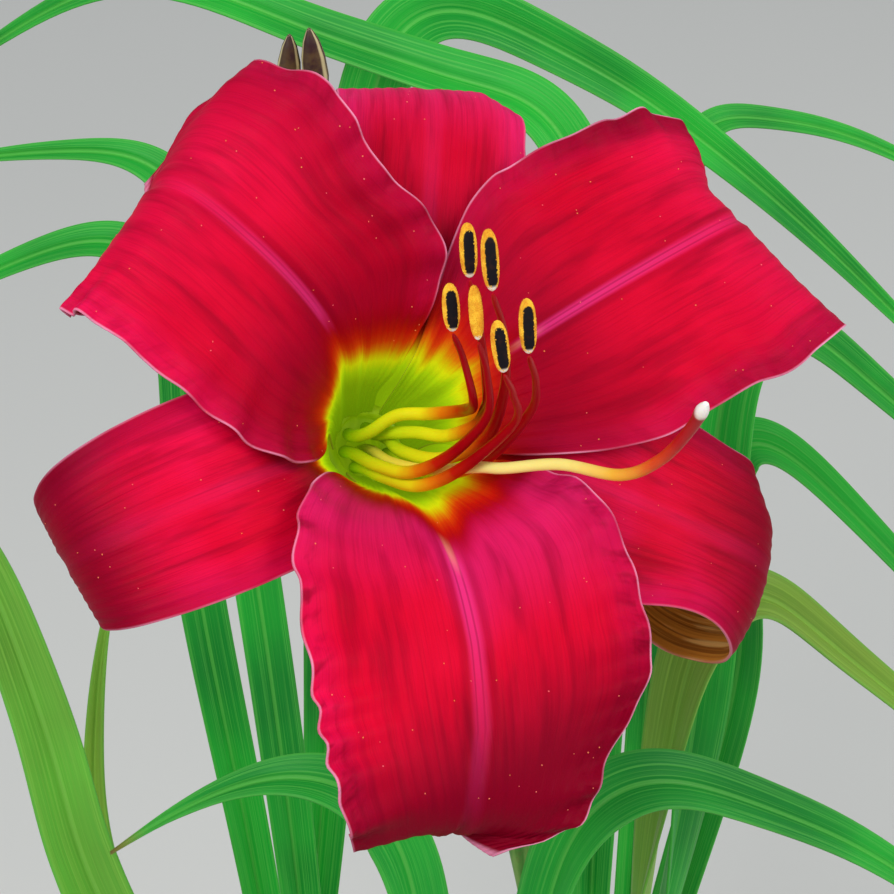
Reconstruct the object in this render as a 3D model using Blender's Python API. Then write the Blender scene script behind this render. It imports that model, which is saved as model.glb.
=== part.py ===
"""Red daylily in a plain terracotta pot: one open bloom and two buds on a scape, over three fans of leaves.

Metres, +Z up.  The origin is the middle of the pot's flat base.
The bloom looks towards -Y, up and a little to +X.
Every leaf, tepal, stamen and bud is a closed solid of its own, about 0.3 mm clear of what carries it.
"""

import math
from dataclasses import dataclass

import bmesh
import bpy
import numpy as np

MM = 0.001
SEAT_GAP = 0.3 * MM  # between two pieces that touch on the real plant

# Pot, and the soil that fills it
POT_HEIGHT = 165 * MM
POT_BASE_RADIUS = 68 * MM
POT_MOUTH_RADIUS = 96 * MM
POT_WALL = 6 * MM
POT_FLOOR = 9 * MM
RIM_HEIGHT = 30 * MM
RIM_STEP = 6 * MM
POT_SIDES = 56
DRAIN_HOLE_RADIUS = 5 * MM
DRAIN_RING_RADIUS = 34 * MM
DRAIN_HOLES = 3
SOIL_BELOW_RIM = 18 * MM
SOIL_MOUND = 5 * MM

# Crowns: the short stems that the leaf fans stand on, each in a plain hole in the soil
CROWN_HALF_LENGTH = 17 * MM
CROWN_HALF_WIDTH = 8.5 * MM
CROWN_DEPTH = 16 * MM
HOLE_MARGIN = 1.6 * MM
CROWN_TOP = POT_HEIGHT - SOIL_BELOW_RIM - 2 * MM
CROWN_SIDES = 20

# Leaves
LEAF_THICKNESS = 0.7 * MM
LEAF_STEPS = 18
LEAF_BEND_WEIGHT = 0.08
LEAF_EASE = 9 * MM
LEAF_LEVEL_FROM = 0.6  # share of the length from which a blade faces its own way
KEEL_FIRST = 8.6 * MM  # from the fan's middle to the innermost keel
KEEL_STEP = 2.7 * MM
BASE_FOLD = 60.0
BASE_HALF_WIDTH = 5.2 * MM

# Scape, and the stalk that carries the open bloom
SCAPE_FOOT_RADIUS = 3.4 * MM
SCAPE_NECK_RADIUS = 2.5 * MM
SCAPE_TOP_RADIUS = 4.0 * MM
SCAPE_SOCKET_DEPTH = 8 * MM
SCAPE_SIDES = 16
STALK_RADIUS = 2.1 * MM

# Bloom
BLOOM_AXIS = (0.26, -0.688, 0.677)
THROAT = (-12.5 * MM, -50.4 * MM, 483 * MM)  # middle of the perianth tube's mouth
TUBE_LENGTH = 28 * MM
TUBE_FOOT_RADIUS = 3.2 * MM
TUBE_MOUTH_RADIUS = 7.4 * MM
TUBE_BORE_RADIUS = 5.0 * MM
TUBE_WELL_RADIUS = 2.8 * MM  # of the narrow part that the ovary stands in
TUBE_SHELF = 3 * MM  # from the mouth down to the shelf that the filaments stand on
TUBE_SIDES = 32
TEPAL_THICKNESS = 0.7 * MM
PETAL_RING = 5.6 * MM
SEPAL_RING = 6.9 * MM
TEPAL_GAP = 0.6 * MM  # between neighbours of one whorl, from each one's edge to the line between them
TEPAL_STEPS = 20
TEPAL_STRIPS = 10


def smooth(value, low, high):
    """0 up to low, 1 from high, and an even ease in between."""
    share = np.clip((value - low) / (high - low), 0, 1)
    return share * share * (3 - 2 * share)


def unit(vector):
    return np.asarray(vector, float) / np.linalg.norm(vector)


# ---------------------------------------------------------------- materials and meshes


def material(name, colour, roughness, metallic=0.0):
    made = bpy.data.materials.get(name)
    if made is None:
        made = bpy.data.materials.new(name)
        made.use_nodes = True
        shader = made.node_tree.nodes["Principled BSDF"]
        shader.inputs["Base Color"].default_value = (*colour, 1)
        shader.inputs["Roughness"].default_value = roughness
        shader.inputs["Metallic"].default_value = metallic
    return made


def solid(name, points, faces, finish, smooth_angle=50):
    """One named object from points and faces, shaded smooth where it is round."""
    mesh = bpy.data.meshes.new(name)
    mesh.from_pydata([tuple(p) for p in points], [], [tuple(int(i) for i in f) for f in faces])
    mesh.update()
    mesh.shade_smooth()
    mesh.set_sharp_from_angle(angle=math.radians(smooth_angle))
    mesh.materials.append(finish)
    made = bpy.data.objects.new(name, mesh)
    bpy.context.scene.collection.objects.link(made)
    return made


def surface_normals(grid):
    """Unit normals of a grid of points, on the side that rows x columns point to."""
    along = np.gradient(grid, axis=0)
    across = np.gradient(grid, axis=1)
    normals = np.cross(along, across)
    return normals / np.linalg.norm(normals, axis=2, keepdims=True)


def blade(name, grid, thickness, finish):
    """A closed thin solid round a grid of points, with both faces split into triangles alike."""
    rows, columns = grid.shape[:2]
    normals = surface_normals(grid) * thickness / 2
    front = (grid + normals).reshape(-1, 3)
    back = (grid - normals).reshape(-1, 3)
    count = rows * columns
    faces = []
    for i in range(rows - 1):
        for j in range(columns - 1):
            a = i * columns + j
            b, c, d = a + columns, a + columns + 1, a + 1
            faces += [(a, b, c), (a, c, d)]
            faces += [(count + a, count + c, count + b), (count + a, count + d, count + c)]
    border = [(i, 0) for i in range(rows)] + [(rows - 1, j) for j in range(1, columns)]
    border += [(i, columns - 1) for i in range(rows - 2, -1, -1)]
    border += [(0, j) for j in range(columns - 2, 0, -1)]
    ring = [i * columns + j for i, j in border]
    for here, after in zip(ring, ring[1:] + ring[:1]):
        faces += [(here, count + after, after), (here, count + here, count + after)]
    return solid(name, np.vstack([front, back]), faces, finish, 60)


def tube(name, path, radii, finish, sides=8):
    """A round bar along a path, with a radius at each point and filled ends."""
    curve = bpy.data.curves.new(name, "CURVE")
    curve.dimensions = "3D"
    curve.bevel_depth = 1.0
    curve.bevel_resolution = sides // 2 - 2
    curve.use_fill_caps = True
    curve.resolution_u = 1
    spline = curve.splines.new("POLY")
    spline.points.add(len(path) - 1)
    for point, place, radius in zip(spline.points, path, radii):
        point.co = (*place, 1)
        point.radius = radius
    spline.use_smooth = True
    curve.materials.append(finish)
    made = bpy.data.objects.new(name, curve)
    bpy.context.scene.collection.objects.link(made)
    return made


def smooth_path(points, count, bend_weight=0.0, reach=0.0):
    """Points on a Catmull-Rom curve through the guides, closer where it turns (bend_weight in m per radian).

    A reach in metres opens its tight turns out over that length.
    """
    guide = np.asarray(points, float)
    guide = np.vstack([2 * guide[0] - guide[1], guide, 2 * guide[-1] - guide[-2]])
    dense = []
    for k in range(1, len(guide) - 2):
        before, start, end, after = guide[k - 1 : k + 3]
        for t in np.linspace(0, 1, 24, endpoint=False):
            dense.append(
                0.5
                * (
                    2 * start
                    + (end - before) * t
                    + (2 * before - 5 * start + 4 * end - after) * t**2
                    + (3 * start - before - 3 * end + after) * t**3
                )
            )
    dense.append(guide[-2])
    dense = eased(np.array(dense), reach) if reach else np.array(dense)
    steps = np.diff(dense, axis=0)
    length = np.linalg.norm(steps, axis=1)
    tangent = steps / length[:, None]
    turning = np.concatenate([[0], np.linalg.norm(np.diff(tangent, axis=0), axis=1)])
    run = np.concatenate([[0], np.cumsum(length + bend_weight * turning)])
    stops = np.linspace(0, run[-1], count)
    return np.stack([np.interp(stops, run, dense[:, k]) for k in range(3)], axis=1)


def eased(line, reach):
    """The same line with its tight turns opened out over a reach in metres, and its ends kept."""
    run = np.concatenate([[0], np.cumsum(np.linalg.norm(np.diff(line, axis=0), axis=1))])
    stops = np.linspace(0, run[-1], int(run[-1] / MM) + 1)
    even = np.stack([np.interp(stops, run, line[:, k]) for k in range(3)], axis=1)
    span = int(3 * reach / MM)
    weight = np.exp(-0.5 * (np.arange(-span, span + 1) * MM / reach) ** 2)
    longer = np.vstack([2 * even[0] - even[span:0:-1], even, 2 * even[-1] - even[-2 : -span - 2 : -1]])
    return np.stack([np.convolve(longer[:, k], weight / weight.sum(), "valid") for k in range(3)], axis=1)


def turned(name, profile, finish, sides, frame=None, squash=(1.0, 1.0)):
    """A closed solid turned round Z from (radius, height) pairs, placed by frame = (origin, x, y, z)."""
    points, faces = [], []
    rings = []
    for radius, height in profile:
        if radius < 1e-9:
            rings.append([len(points)])
            points.append((0.0, 0.0, height))
            continue
        rings.append(list(range(len(points), len(points) + sides)))
        for k in range(sides):
            turn = 2 * math.pi * k / sides
            points.append((radius * squash[0] * math.cos(turn), radius * squash[1] * math.sin(turn), height))
    for low, high in zip(rings, rings[1:]):
        for k in range(sides):
            after = (k + 1) % sides
            if len(low) == 1:
                faces.append((low[0], high[after], high[k]))
            elif len(high) == 1:
                faces.append((low[k], low[after], high[0]))
            else:
                faces.append((low[k], low[after], high[after], high[k]))
    if len(rings[0]) > 1:
        faces.append(tuple(reversed(rings[0])))
    if len(rings[-1]) > 1:
        faces.append(tuple(rings[-1]))
    points = np.array(points)
    if frame is not None:
        origin, x, y, z = (np.asarray(v, float) for v in frame)
        points = origin + points @ np.stack([x, y, z])
    return solid(name, points, faces, finish)


def axes_along(direction, sideways=(1, 0, 0)):
    """(x, y, z) unit axes with z along direction and x as near to sideways as it can be."""
    z = unit(direction)
    x = unit(np.asarray(sideways, float) - np.dot(sideways, z) * z)
    return x, np.cross(z, x), z


# ---------------------------------------------------------------- leaves


@dataclass(frozen=True)
class Leaf:
    """One leaf: where it stands in its fan, how wide it is, and guide points from foot to tip, in mm."""

    side: int  # +1 or -1 along the fan
    rank: int  # 0 is innermost
    half_width: float
    facing: float  # how far the blade turns its upper face to the front: 0 is straight up
    guide: tuple


@dataclass(frozen=True)
class Fan:
    """A crown with its leaves in two ranks, along one bearing."""

    name: str
    middle: tuple
    bearing: float
    leaves: tuple


FANS = (
    Fan(
        "a",
        (28 * MM, 14 * MM),
        65,
        (
            Leaf(
                +1, 0, 7 * MM, 0.6,
                (
                    (34, 54, 280), (35, 82, 365), (27, 108, 450), (0, 119, 461),
                    (-25, 126, 467), (-71, 136, 476), (-128, 148, 438),
                ),
            ),
            Leaf(
                +1, 1, 7 * MM, 0.5,
                ((52, 56, 265), (66, 64, 345), (61, 68, 404), (100, 74, 365), (152, 80, 294)),
            ),
            Leaf(
                +1, 2, 4.5 * MM, 0.6,
                (
                    (47, 88, 268), (52, 126, 342), (58, 168, 417),
                    (76, 180, 419), (113, 198, 400), (172, 210, 358),
                ),
            ),
            Leaf(
                -1, 0, 7.5 * MM, 0.6,
                ((35, -4, 265), (50, 18, 360), (58, 50, 440), (93, 60, 416), (143, 70, 357)),
            ),
            Leaf(
                -1, 1, 7 * MM, 0.5,
                (
                    (33, -14, 250), (38, -14, 320), (42, -13, 375), (47, -10, 414),
                    (56, -6, 421), (75, 1, 399), (103, 9, 366), (131, 14, 322),
                ),
            ),
            Leaf(
                -1, 2, 7 * MM, 0.3,
                (
                    (16, -22, 238), (40, -38, 270), (84, -66, 278),
                    (128, -96, 252), (166, -118, 212), (190, -130, 175),
                ),
            ),
        ),
    ),
    Fan(
        "b",
        (-26 * MM, 20 * MM),
        115,
        (
            Leaf(
                +1, 0, 5.5 * MM, 0.6,
                ((-34, 44, 290), (-42, 54, 390), (-51, 62, 465), (-77, 70, 470), (-118, 80, 459)),
            ),
            Leaf(
                +1, 1, 6 * MM, 0.6,
                (
                    (-46, 64, 280), (-58, 84, 360), (-62, 96, 430),
                    (-97, 100, 425), (-145, 108, 389),
                ),
            ),
            Leaf(
                +1, 2, 8.5 * MM, 0.75,
                (
                    (-30, 80, 290), (-24, 114, 390), (-11, 148, 460),
                    (29, 157, 447), (77, 163, 408), (141, 172, 339),
                ),
            ),
            Leaf(-1, 0, 3.5 * MM, 0.3, ((-44, 16, 250), (-73, 24, 310), (-74, 33, 359), (-64, 40, 406))),
            Leaf(
                -1, 1, 7.5 * MM, 0.5,
                (
                    (-30, -1, 245), (-54, 0, 292), (-73, 2, 335),
                    (-80, 5, 378), (-94, 12, 424), (-118, 16, 440),
                ),
            ),
            Leaf(
                -1, 2, 7 * MM, 0.3,
                (
                    (-14, -20, 236), (-38, -36, 270), (-86, -54, 280),
                    (-140, -66, 256), (-178, -75, 216), (-198, -80, 185),
                ),
            ),
        ),
    ),
    Fan(
        "c",
        (-2 * MM, -42 * MM),
        8,
        (
            Leaf(
                +1, 0, 7 * MM, 0.5,
                (
                    (9, -38, 250), (14, -38, 325), (19, -38, 370), (25, -36, 392),
                    (36, -33, 398), (55, -28, 387), (87, -18, 360), (139, -8, 303),
                ),
            ),
            Leaf(
                +1, 1, 7 * MM, 0.3,
                ((30, -46, 228), (50, -78, 258), (84, -128, 262), (118, -178, 222), (140, -208, 165)),
            ),
            Leaf(
                +1, 2, 7 * MM, 0.2,
                ((46, -40, 222), (76, -47, 236), (118, -56, 226), (160, -63, 188), (192, -68, 135)),
            ),
            Leaf(
                -1, 0, 6.5 * MM, 0.5,
                (
                    (-8, -46, 250), (-5, -47, 325), (-5, -47, 372), (-11, -47, 402),
                    (-25, -46, 411), (-44, -44, 402), (-61, -42, 387),
                ),
            ),
            Leaf(
                -1, 1, 7 * MM, 0.3,
                ((-33, -52, 228), (-52, -84, 258), (-86, -134, 262), (-119, -182, 222), (-142, -214, 165)),
            ),
            Leaf(
                -1, 2, 7 * MM, 0.2,
                ((-50, -44, 222), (-84, -38, 238), (-130, -31, 226), (-176, -25, 188), (-212, -20, 135)),
            ),
            Leaf(-1, -2, 6 * MM, 0.3, ((-2, -55, 236), (0, -76, 310), (8, -114, 350), (18, -160, 330))),
        ),
    ),
)
SCAPE_FAN = FANS[0]


def leaf_spine(leaf, fan):
    """The midrib's points, with the side and upper-face directions at each."""
    out = math.radians(fan.bearing if leaf.side > 0 else fan.bearing + 180)
    outward = np.array([math.cos(out), math.sin(out), 0])
    foot = np.array([*fan.middle, CROWN_TOP + SEAT_GAP]) + (KEEL_FIRST + leaf.rank * KEEL_STEP) * outward
    spread = max(leaf.rank, 0)
    low = foot + outward * (1 + 2.5 * spread) * MM + (0, 0, 28 * MM)
    high = foot + outward * (3 + 7 * spread) * MM + (0, 0, 56 * MM)
    guide = [foot, low, high, *(np.asarray(leaf.guide) * MM)]
    spine = smooth_path(guide, LEAF_STEPS + 1, LEAF_BEND_WEIGHT, LEAF_EASE)
    tangent = np.gradient(spine, axis=0)
    tangent /= np.linalg.norm(tangent, axis=1, keepdims=True)

    sides = [np.array([-outward[1], outward[0], 0])]
    for here in tangent[1:]:
        carried = sides[-1]
        sides.append(unit(carried - np.dot(carried, here) * here))
    side = np.array(sides)
    upper = np.cross(tangent, side)
    level = np.cross(tangent, (0, leaf.facing, -math.sqrt(1 - leaf.facing**2)))
    level /= np.linalg.norm(level, axis=1, keepdims=True)
    share = np.linspace(0, 1, len(spine))
    angle = np.unwrap(np.arctan2(np.sum(level * upper, axis=1), np.sum(level * side, axis=1)))
    angle = np.interp(np.maximum(share, LEAF_LEVEL_FROM), share, angle)
    angle = angle - 2 * math.pi * round(angle[0] / (2 * math.pi))
    roll = (angle * smooth(share, 0.1, LEAF_LEVEL_FROM))[:, None]
    return spine, side * np.cos(roll) + upper * np.sin(roll), upper * np.cos(roll) - side * np.sin(roll)


def leaf_grid(leaf, fan):
    """The leaf's surface: a keeled strip, folded tight at the foot and opening towards the tip."""
    spine, side, upper = leaf_spine(leaf, fan)
    share = np.linspace(0, 1, LEAF_STEPS + 1)[:, None, None]
    width = BASE_HALF_WIDTH + (leaf.half_width - BASE_HALF_WIDTH) * smooth(share, 0.05, 0.45)
    width = width * (1 - 0.95 * np.clip((share - 0.5) / 0.5, 0, 1) ** 2.2)
    fold = np.radians(BASE_FOLD + (24 - BASE_FOLD) * smooth(share, 0.03, 0.4))
    across = np.array([-1.0, 0.0, 1.0])[None, :, None]
    return (
        spine[:, None, :]
        + side[:, None, :] * across * width * np.cos(fold)
        + upper[:, None, :] * np.abs(across) * width * np.sin(fold)
    )


# ---------------------------------------------------------------- bloom


@dataclass(frozen=True)
class Tepal:
    """One petal or sepal, in the bloom's own frame.  Arc lengths run from the tube's mouth."""

    name: str
    share: tuple  # bearings round the axis between which it stays, in degrees from the bloom's right
    turn: float  # bearing of its midrib
    length: float
    half_width: float
    full_to: float  # share of the length where the end starts to narrow
    spread: float  # degrees off the axis where the blade lies open
    open_to: float
    roll: float  # degrees more by which the end rolls back
    roll_from: float
    roll_to: float
    skew: float = 0.0  # how much later the roll comes at one edge than on the midrib
    sweep: float = 0.0  # how far the tip lies to one side
    twist: float = 0.0  # degrees
    cup: float = 0.0  # 1/m across the open blade, up at the edges
    end_cup: float = 0.0  # 1/m across the rolled end
    ruffle: float = 0.8 * MM
    waves: float = 7.0
    phase: float = 0.0
    lobes: tuple = ()  # where the margin stands out or draws in: run in mm, side, how much, over what breadth
    late: tuple = ((0.0,), (0.0,))  # places across, and how much later the blade rolls back there, in mm
    ring: float = PETAL_RING  # radius that it stands on
    throat: float = 18.0  # degrees off the axis in the throat
    open_from: float = 14 * MM


PETALS = (
    Tepal(
        "petal_left", (78, 207), 133, 77 * MM, 24 * MM, 0.78, 83, 50 * MM, 126, 52 * MM, 76 * MM,
        skew=-3 * MM, sweep=9 * MM, twist=-7, cup=2,
        lobes=((46, -1, -2.0, 5), (58, -1, 1.2, 4), (67, -1, 1.0, 4)),
        late=((-1, -0.8, -0.5, -0.15, 0.3, 1), (-1.5, 0.5, 0.6, 0.1, 0, 0)),
    ),
    Tepal(
        "petal_right", (-20, 78), 36, 99 * MM, 24 * MM, 0.69, 86, 35 * MM, 116, 61 * MM, 88 * MM,
        skew=-1 * MM, sweep=-7 * MM, twist=-10, end_cup=-1,
        lobes=((66, 1, -1.0, 6), (80, 1, -4.5, 8), (64, -1, 1.2, 4), (86, -1, 2.0, 6)),
        late=((-1, 0.3, 0.75, 1), (0, 0, 4, 5)),
    ),
    Tepal(
        "petal_low", (-153, -20), -72, 85 * MM, 26 * MM, 0.58, 86, 54 * MM, 112, 66 * MM, 84 * MM,
        skew=5 * MM, sweep=-12 * MM, twist=-3, cup=7, end_cup=1,
        lobes=((72, 1, -3.5, 6), (60, 1, 0.8, 5)),
    ),
)


def sepal(name, *sizes, **more):
    """A tepal of the outer whorl, which stands wider and opens earlier than the petals."""
    return Tepal(name, *sizes, **{"ring": SEPAL_RING, "throat": 24.0, "open_from": 11 * MM, **more})


SEPALS = (
    sepal(
        "sepal_top", (30, 142), 83, 89 * MM, 15 * MM, 0.58, 104, 41 * MM, 114, 49 * MM, 81 * MM,
        skew=-2 * MM, twist=-3, cup=-6, end_cup=-6,
        late=((-1, -0.6, 0), (-2.5, 0, 0)),
    ),
    sepal(
        "sepal_left", (142, 270), 203, 79 * MM, 15 * MM, 0.45, 93, 51 * MM, 117, 49 * MM, 77 * MM,
        skew=-1 * MM, sweep=2 * MM, twist=-1, end_cup=-5,
    ),
    sepal(
        "sepal_right", (-90, 30), -14, 92 * MM, 17 * MM, 0.7, 103, 40 * MM, 121, 61 * MM, 86 * MM,
        skew=3 * MM, sweep=-6 * MM, twist=-19, cup=-9, end_cup=-3,
        lobes=((58, -1, -4.0, 11),),
        late=((-1, -0.5, 0, 0.5, 1), (-3, -0.5, 1, 1.5, -2.5)),
    ),
)


def tepal_width(tepal, run, across):
    """Half the blade's width at each arc length: narrow in the throat, full further out, blunt at the end."""
    share = run / tepal.length
    foot = tepal.ring * math.radians(56)
    body = foot + (tepal.half_width - foot) * smooth(share, 0.05, 0.45)
    end = np.sqrt(np.clip(1 - np.clip((share - tepal.full_to) / (1.003 - tepal.full_to), 0, 1) ** 2.2, 0, 1))
    width = np.maximum(body * end, 1.2 * MM)
    for place, edge, size, breadth in tepal.lobes:
        near = np.exp(-(((run / MM - place) / breadth) ** 2))
        width = width + size * MM * near * smooth(across * edge, 0.0, 0.6)
    return np.maximum(width, 1.2 * MM)


def soft_least(one, other, power=14.0):
    """The lesser of two lengths, rounded where they cross."""
    return (one**-power + other**-power) ** (-1 / power)


def sector(tepal):
    """How far round the axis the tepal may reach to each side before its neighbours begin, in radians."""
    low, high = tepal.share
    return math.radians(tepal.turn - low), math.radians(high - tepal.turn)


def tepal_grid(tepal, rows=TEPAL_STEPS + 1, columns=TEPAL_STRIPS + 1):
    """The tepal's surface as rows of points from the tube's mouth to the tip, in the row frame."""
    run = np.linspace(0, tepal.length, rows)[:, None]
    across = np.sin(np.linspace(-1, 1, columns) * math.radians(77))[None, :] / math.sin(math.radians(77))
    late = np.interp(across, *tepal.late) * MM
    rolled = smooth(run - tepal.skew * across - late, tepal.roll_from, tepal.roll_to)
    opened = smooth(run, tepal.open_from, tepal.open_to)
    tilt = np.radians(tepal.throat + (tepal.spread - tepal.throat) * opened + tepal.roll * rolled)
    step = tepal.length / (rows - 1)
    middle = (tilt[:-1] + tilt[1:]) / 2
    nothing = np.zeros((1, columns))
    out = tepal.ring + np.vstack([nothing, np.cumsum(np.sin(middle) * step, axis=0)])
    rise = SEAT_GAP + np.vstack([nothing, np.cumsum(np.cos(middle) * step, axis=0)])

    flatter = smooth(run, 0.6 * tepal.open_from + 6 * MM, tepal.open_to + 8 * MM)
    right, left = sector(tepal)
    share = np.where(across < 0, right, left)
    room = out * (share + (np.tan(np.minimum(share, 1.3)) - share) * flatter) - TEPAL_GAP
    side = across * soft_least(tepal_width(tepal, run, across), room)
    wave_turn = 2 * math.pi * tepal.waves * run / tepal.length + tepal.phase
    wave = np.where(across > 0, np.sin(wave_turn), np.cos(1.1 * wave_turn)) * np.abs(across) ** 3
    wave = wave * tepal.ruffle * smooth(run, 0.25 * tepal.length, 0.5 * tepal.length)
    curve = tepal.cup + (tepal.end_cup - tepal.cup) * rolled + 1e-6
    lift = (1 - np.cos(curve * side)) / curve + wave
    reach = np.sin(curve * side) / curve
    twist = np.radians(tepal.twist) * smooth(run, tepal.open_from, tepal.length)
    reach, lift = reach * np.cos(twist) - lift * np.sin(twist), reach * np.sin(twist) + lift * np.cos(twist)
    flat = np.stack([out - lift * np.cos(tilt), reach, rise + lift * np.sin(tilt)], axis=2)

    angle = side / out
    round_throat = np.stack([out * np.cos(angle), out * np.sin(angle), rise], axis=2)
    grid = round_throat * (1 - flatter)[:, :, None] + flat * flatter[:, :, None]
    opened = np.clip((run - tepal.open_from) / (tepal.length - tepal.open_from), 0, 1)
    grid[:, :, 1] += tepal.sweep * opened ** 2

    turn = math.radians(tepal.turn)
    spin = np.array([[math.cos(turn), math.sin(turn), 0], [-math.sin(turn), math.cos(turn), 0], [0, 0, 1]])
    return np.asarray(THROAT) + (grid @ spin) @ np.stack(axes_along(BLOOM_AXIS))


def bloom_frame():
    """(origin, x, y, z) of the bloom: the middle of the tube's mouth, and z out along its axis."""
    return (THROAT, *axes_along(BLOOM_AXIS))


def from_bloom(points):
    """Points given in the bloom's own frame, in millimetres, placed in the row frame."""
    return np.asarray(THROAT) + np.asarray(points, float) * MM @ np.stack(axes_along(BLOOM_AXIS))


@dataclass(frozen=True)
class Stamen:
    """A filament and its anther: where it stands in the tube and how it leaves the bundle, in millimetres."""

    turn: float  # degrees round the tube
    rise: tuple  # guide points from the bundle to the tip
    anther_top: tuple
    way: tuple = ()  # guide points of its own in place of the bundle's


BUNDLE = ((-0.6, -1.8, 6), (0.4, -4.8, 14), (3.8, -7.2, 23), (7.8, -5.8, 32))
BUNDLE_RADII = (3.1, 2.6, 2.8, 3.0)
FILAMENT_RING = 3.6
FILAMENT_RADII = (0.9 * MM, 0.45 * MM)
ANTHER_RADIUS = 1.2 * MM
STAMENS = (
    Stamen(-10, ((13.7, -1.5, 43), (11.8, 1.1, 52), (8.4, 3.0, 60)), (6.9, 10.2, 64)),
    Stamen(40, ((9.8, 1.2, 43), (6.7, 7.1, 54), (2.7, 10.9, 62)), (0.9, 19.0, 66)),
    Stamen(
        90, ((7.6, 1.5, 42), (4.0, 8.3, 51), (0.6, 13.5, 58)), (-0.9, 20.7, 62),
        ((-0.3, 0.9, 6), (1.1, 0.3, 11), (4.0, -0.3, 15.5), (7.4, -1.4, 20), (9.8, -1.0, 28), (9.4, 0.4, 35)),
    ),
    Stamen(
        140, ((5.8, 0.0, 41), (2.4, 4.6, 48), (-0.7, 6.8, 54)), (-2.3, 13.1, 58),
        ((-3.6, 0.4, 6), (-2.4, 0.2, 11), (0.9, 2.2, 15.5), (5.2, 1.9, 20), (8.2, 1.2, 28)),
    ),
    Stamen(190, ((7.2, -2.4, 43), (5.0, 2.0, 51), (2.1, 5.1, 57)), (0.3, 12.3, 61)),
    Stamen(240, ((10.4, -3.8, 46), (7.6, -1.4, 55), (4.6, 0.0, 61)), (2.4, 6.7, 65)),
)

PISTIL = (
    (0, 0, -20.5),
    (0, 0, -13),
    (0, 0, -4),
    *BUNDLE[:3],
    (9.0, -8.0, 32),
    (11.5, -8.8, 37),
    (17.1, -9.4, 46),
    (22.7, -12.2, 56),
    (26.0, -11.1, 63),
    (27.8, -8.0, 70),
    (28.3, -5.3, 75),
)
OVARY_RADIUS = 2.0 * MM
STYLE_RADIUS = 0.8 * MM
STIGMA_RADIUS = 1.3 * MM
PISTIL_STEPS = 34


def make_stamens(filament_finish, anther_finish):
    """Six filaments that leave the tube as one bundle, each with an anther 0.3 mm past its end."""
    for number, stamen in enumerate(STAMENS, 1):
        turn = math.radians(stamen.turn)
        outward = np.array([math.cos(turn), math.sin(turn), 0])
        foot = FILAMENT_RING * outward + (0, 0, (SEAT_GAP - TUBE_SHELF) / MM)
        bundle = [np.asarray(point) + radius * outward for point, radius in zip(BUNDLE, BUNDLE_RADII)]
        path = smooth_path(from_bloom([foot, *(stamen.way or bundle), *stamen.rise]), 22)
        share = np.linspace(0, 1, len(path))
        radii = FILAMENT_RADII[0] + (FILAMENT_RADII[1] - FILAMENT_RADII[0]) * smooth(share, 0.4, 1.0)
        tube(f"filament_{number}", path, radii, filament_finish)

        top = from_bloom(stamen.anther_top)
        upward = unit(top - path[-1])
        start = path[-1] + unit(path[-1] - path[-2]) * SEAT_GAP + upward * 0.5 * FILAMENT_RADII[1]
        length = np.linalg.norm(top - start)
        profile = [(ANTHER_RADIUS * wide, length * high) for wide, high in ANTHER_PROFILE]
        frame = (start, *axes_along(upward))
        turned(f"anther_{number}", profile, anther_finish, 10, frame, (1.0, 0.75))


ANTHER_PROFILE = ((0.3, 0.0), (0.75, 0.05), (0.97, 0.2), (1.0, 0.5), (0.93, 0.8), (0.62, 0.95), (0.25, 1.0))


def make_pistil(finish):
    path = smooth_path(from_bloom(PISTIL), PISTIL_STEPS)
    share = np.linspace(0, 1, PISTIL_STEPS)
    radii = OVARY_RADIUS + (STYLE_RADIUS - OVARY_RADIUS) * smooth(share, 0.03, 0.14)
    radii = radii + (STIGMA_RADIUS - STYLE_RADIUS) * smooth(share, 0.97, 1.0)
    tube("pistil", path, radii, finish)


def make_flower_tube(finish):
    """The perianth tube, hollow from its mouth, with a shelf for the filaments and a well for the ovary."""
    profile = (
        (TUBE_FOOT_RADIUS, -TUBE_LENGTH),
        (TUBE_FOOT_RADIUS + 0.9 * MM, -0.75 * TUBE_LENGTH),
        (TUBE_FOOT_RADIUS + 1.3 * MM, -0.4 * TUBE_LENGTH),
        (TUBE_MOUTH_RADIUS - 1.2 * MM, -4 * MM),
        (TUBE_MOUTH_RADIUS, 0),
        (TUBE_BORE_RADIUS, 0),
        (TUBE_BORE_RADIUS, -TUBE_SHELF),
        (TUBE_WELL_RADIUS, -TUBE_SHELF),
        (TUBE_WELL_RADIUS, -21 * MM),
        (0, -21 * MM),
    )
    turned("flower_tube", profile, finish, TUBE_SIDES, bloom_frame())


# ---------------------------------------------------------------- scape, stalk, buds


SCAPE_GUIDE = (
    (28, 14, 180),
    (27, 11, 240),
    (21, 5, 310),
    (7, -1, 390),
    (-13, 0, 465),
    (-24, 4, 513),
)
STALK_LEAVES_AT = 0.80  # share of the scape's length where the bloom's stalk stands


def scape_path():
    foot = (SCAPE_GUIDE[0][0] * MM, SCAPE_GUIDE[0][1] * MM, CROWN_TOP - SCAPE_SOCKET_DEPTH + SEAT_GAP)
    return smooth_path([foot, *(np.asarray(SCAPE_GUIDE) * MM)], 18)


def make_scape(finish):
    path = scape_path()
    share = np.linspace(0, 1, len(path))
    radii = SCAPE_FOOT_RADIUS + (SCAPE_NECK_RADIUS - SCAPE_FOOT_RADIUS) * share
    radii = radii + (SCAPE_TOP_RADIUS - SCAPE_NECK_RADIUS) * smooth(share, 0.93, 1.0)
    tube("scape", path, radii, finish, SCAPE_SIDES)


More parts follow.
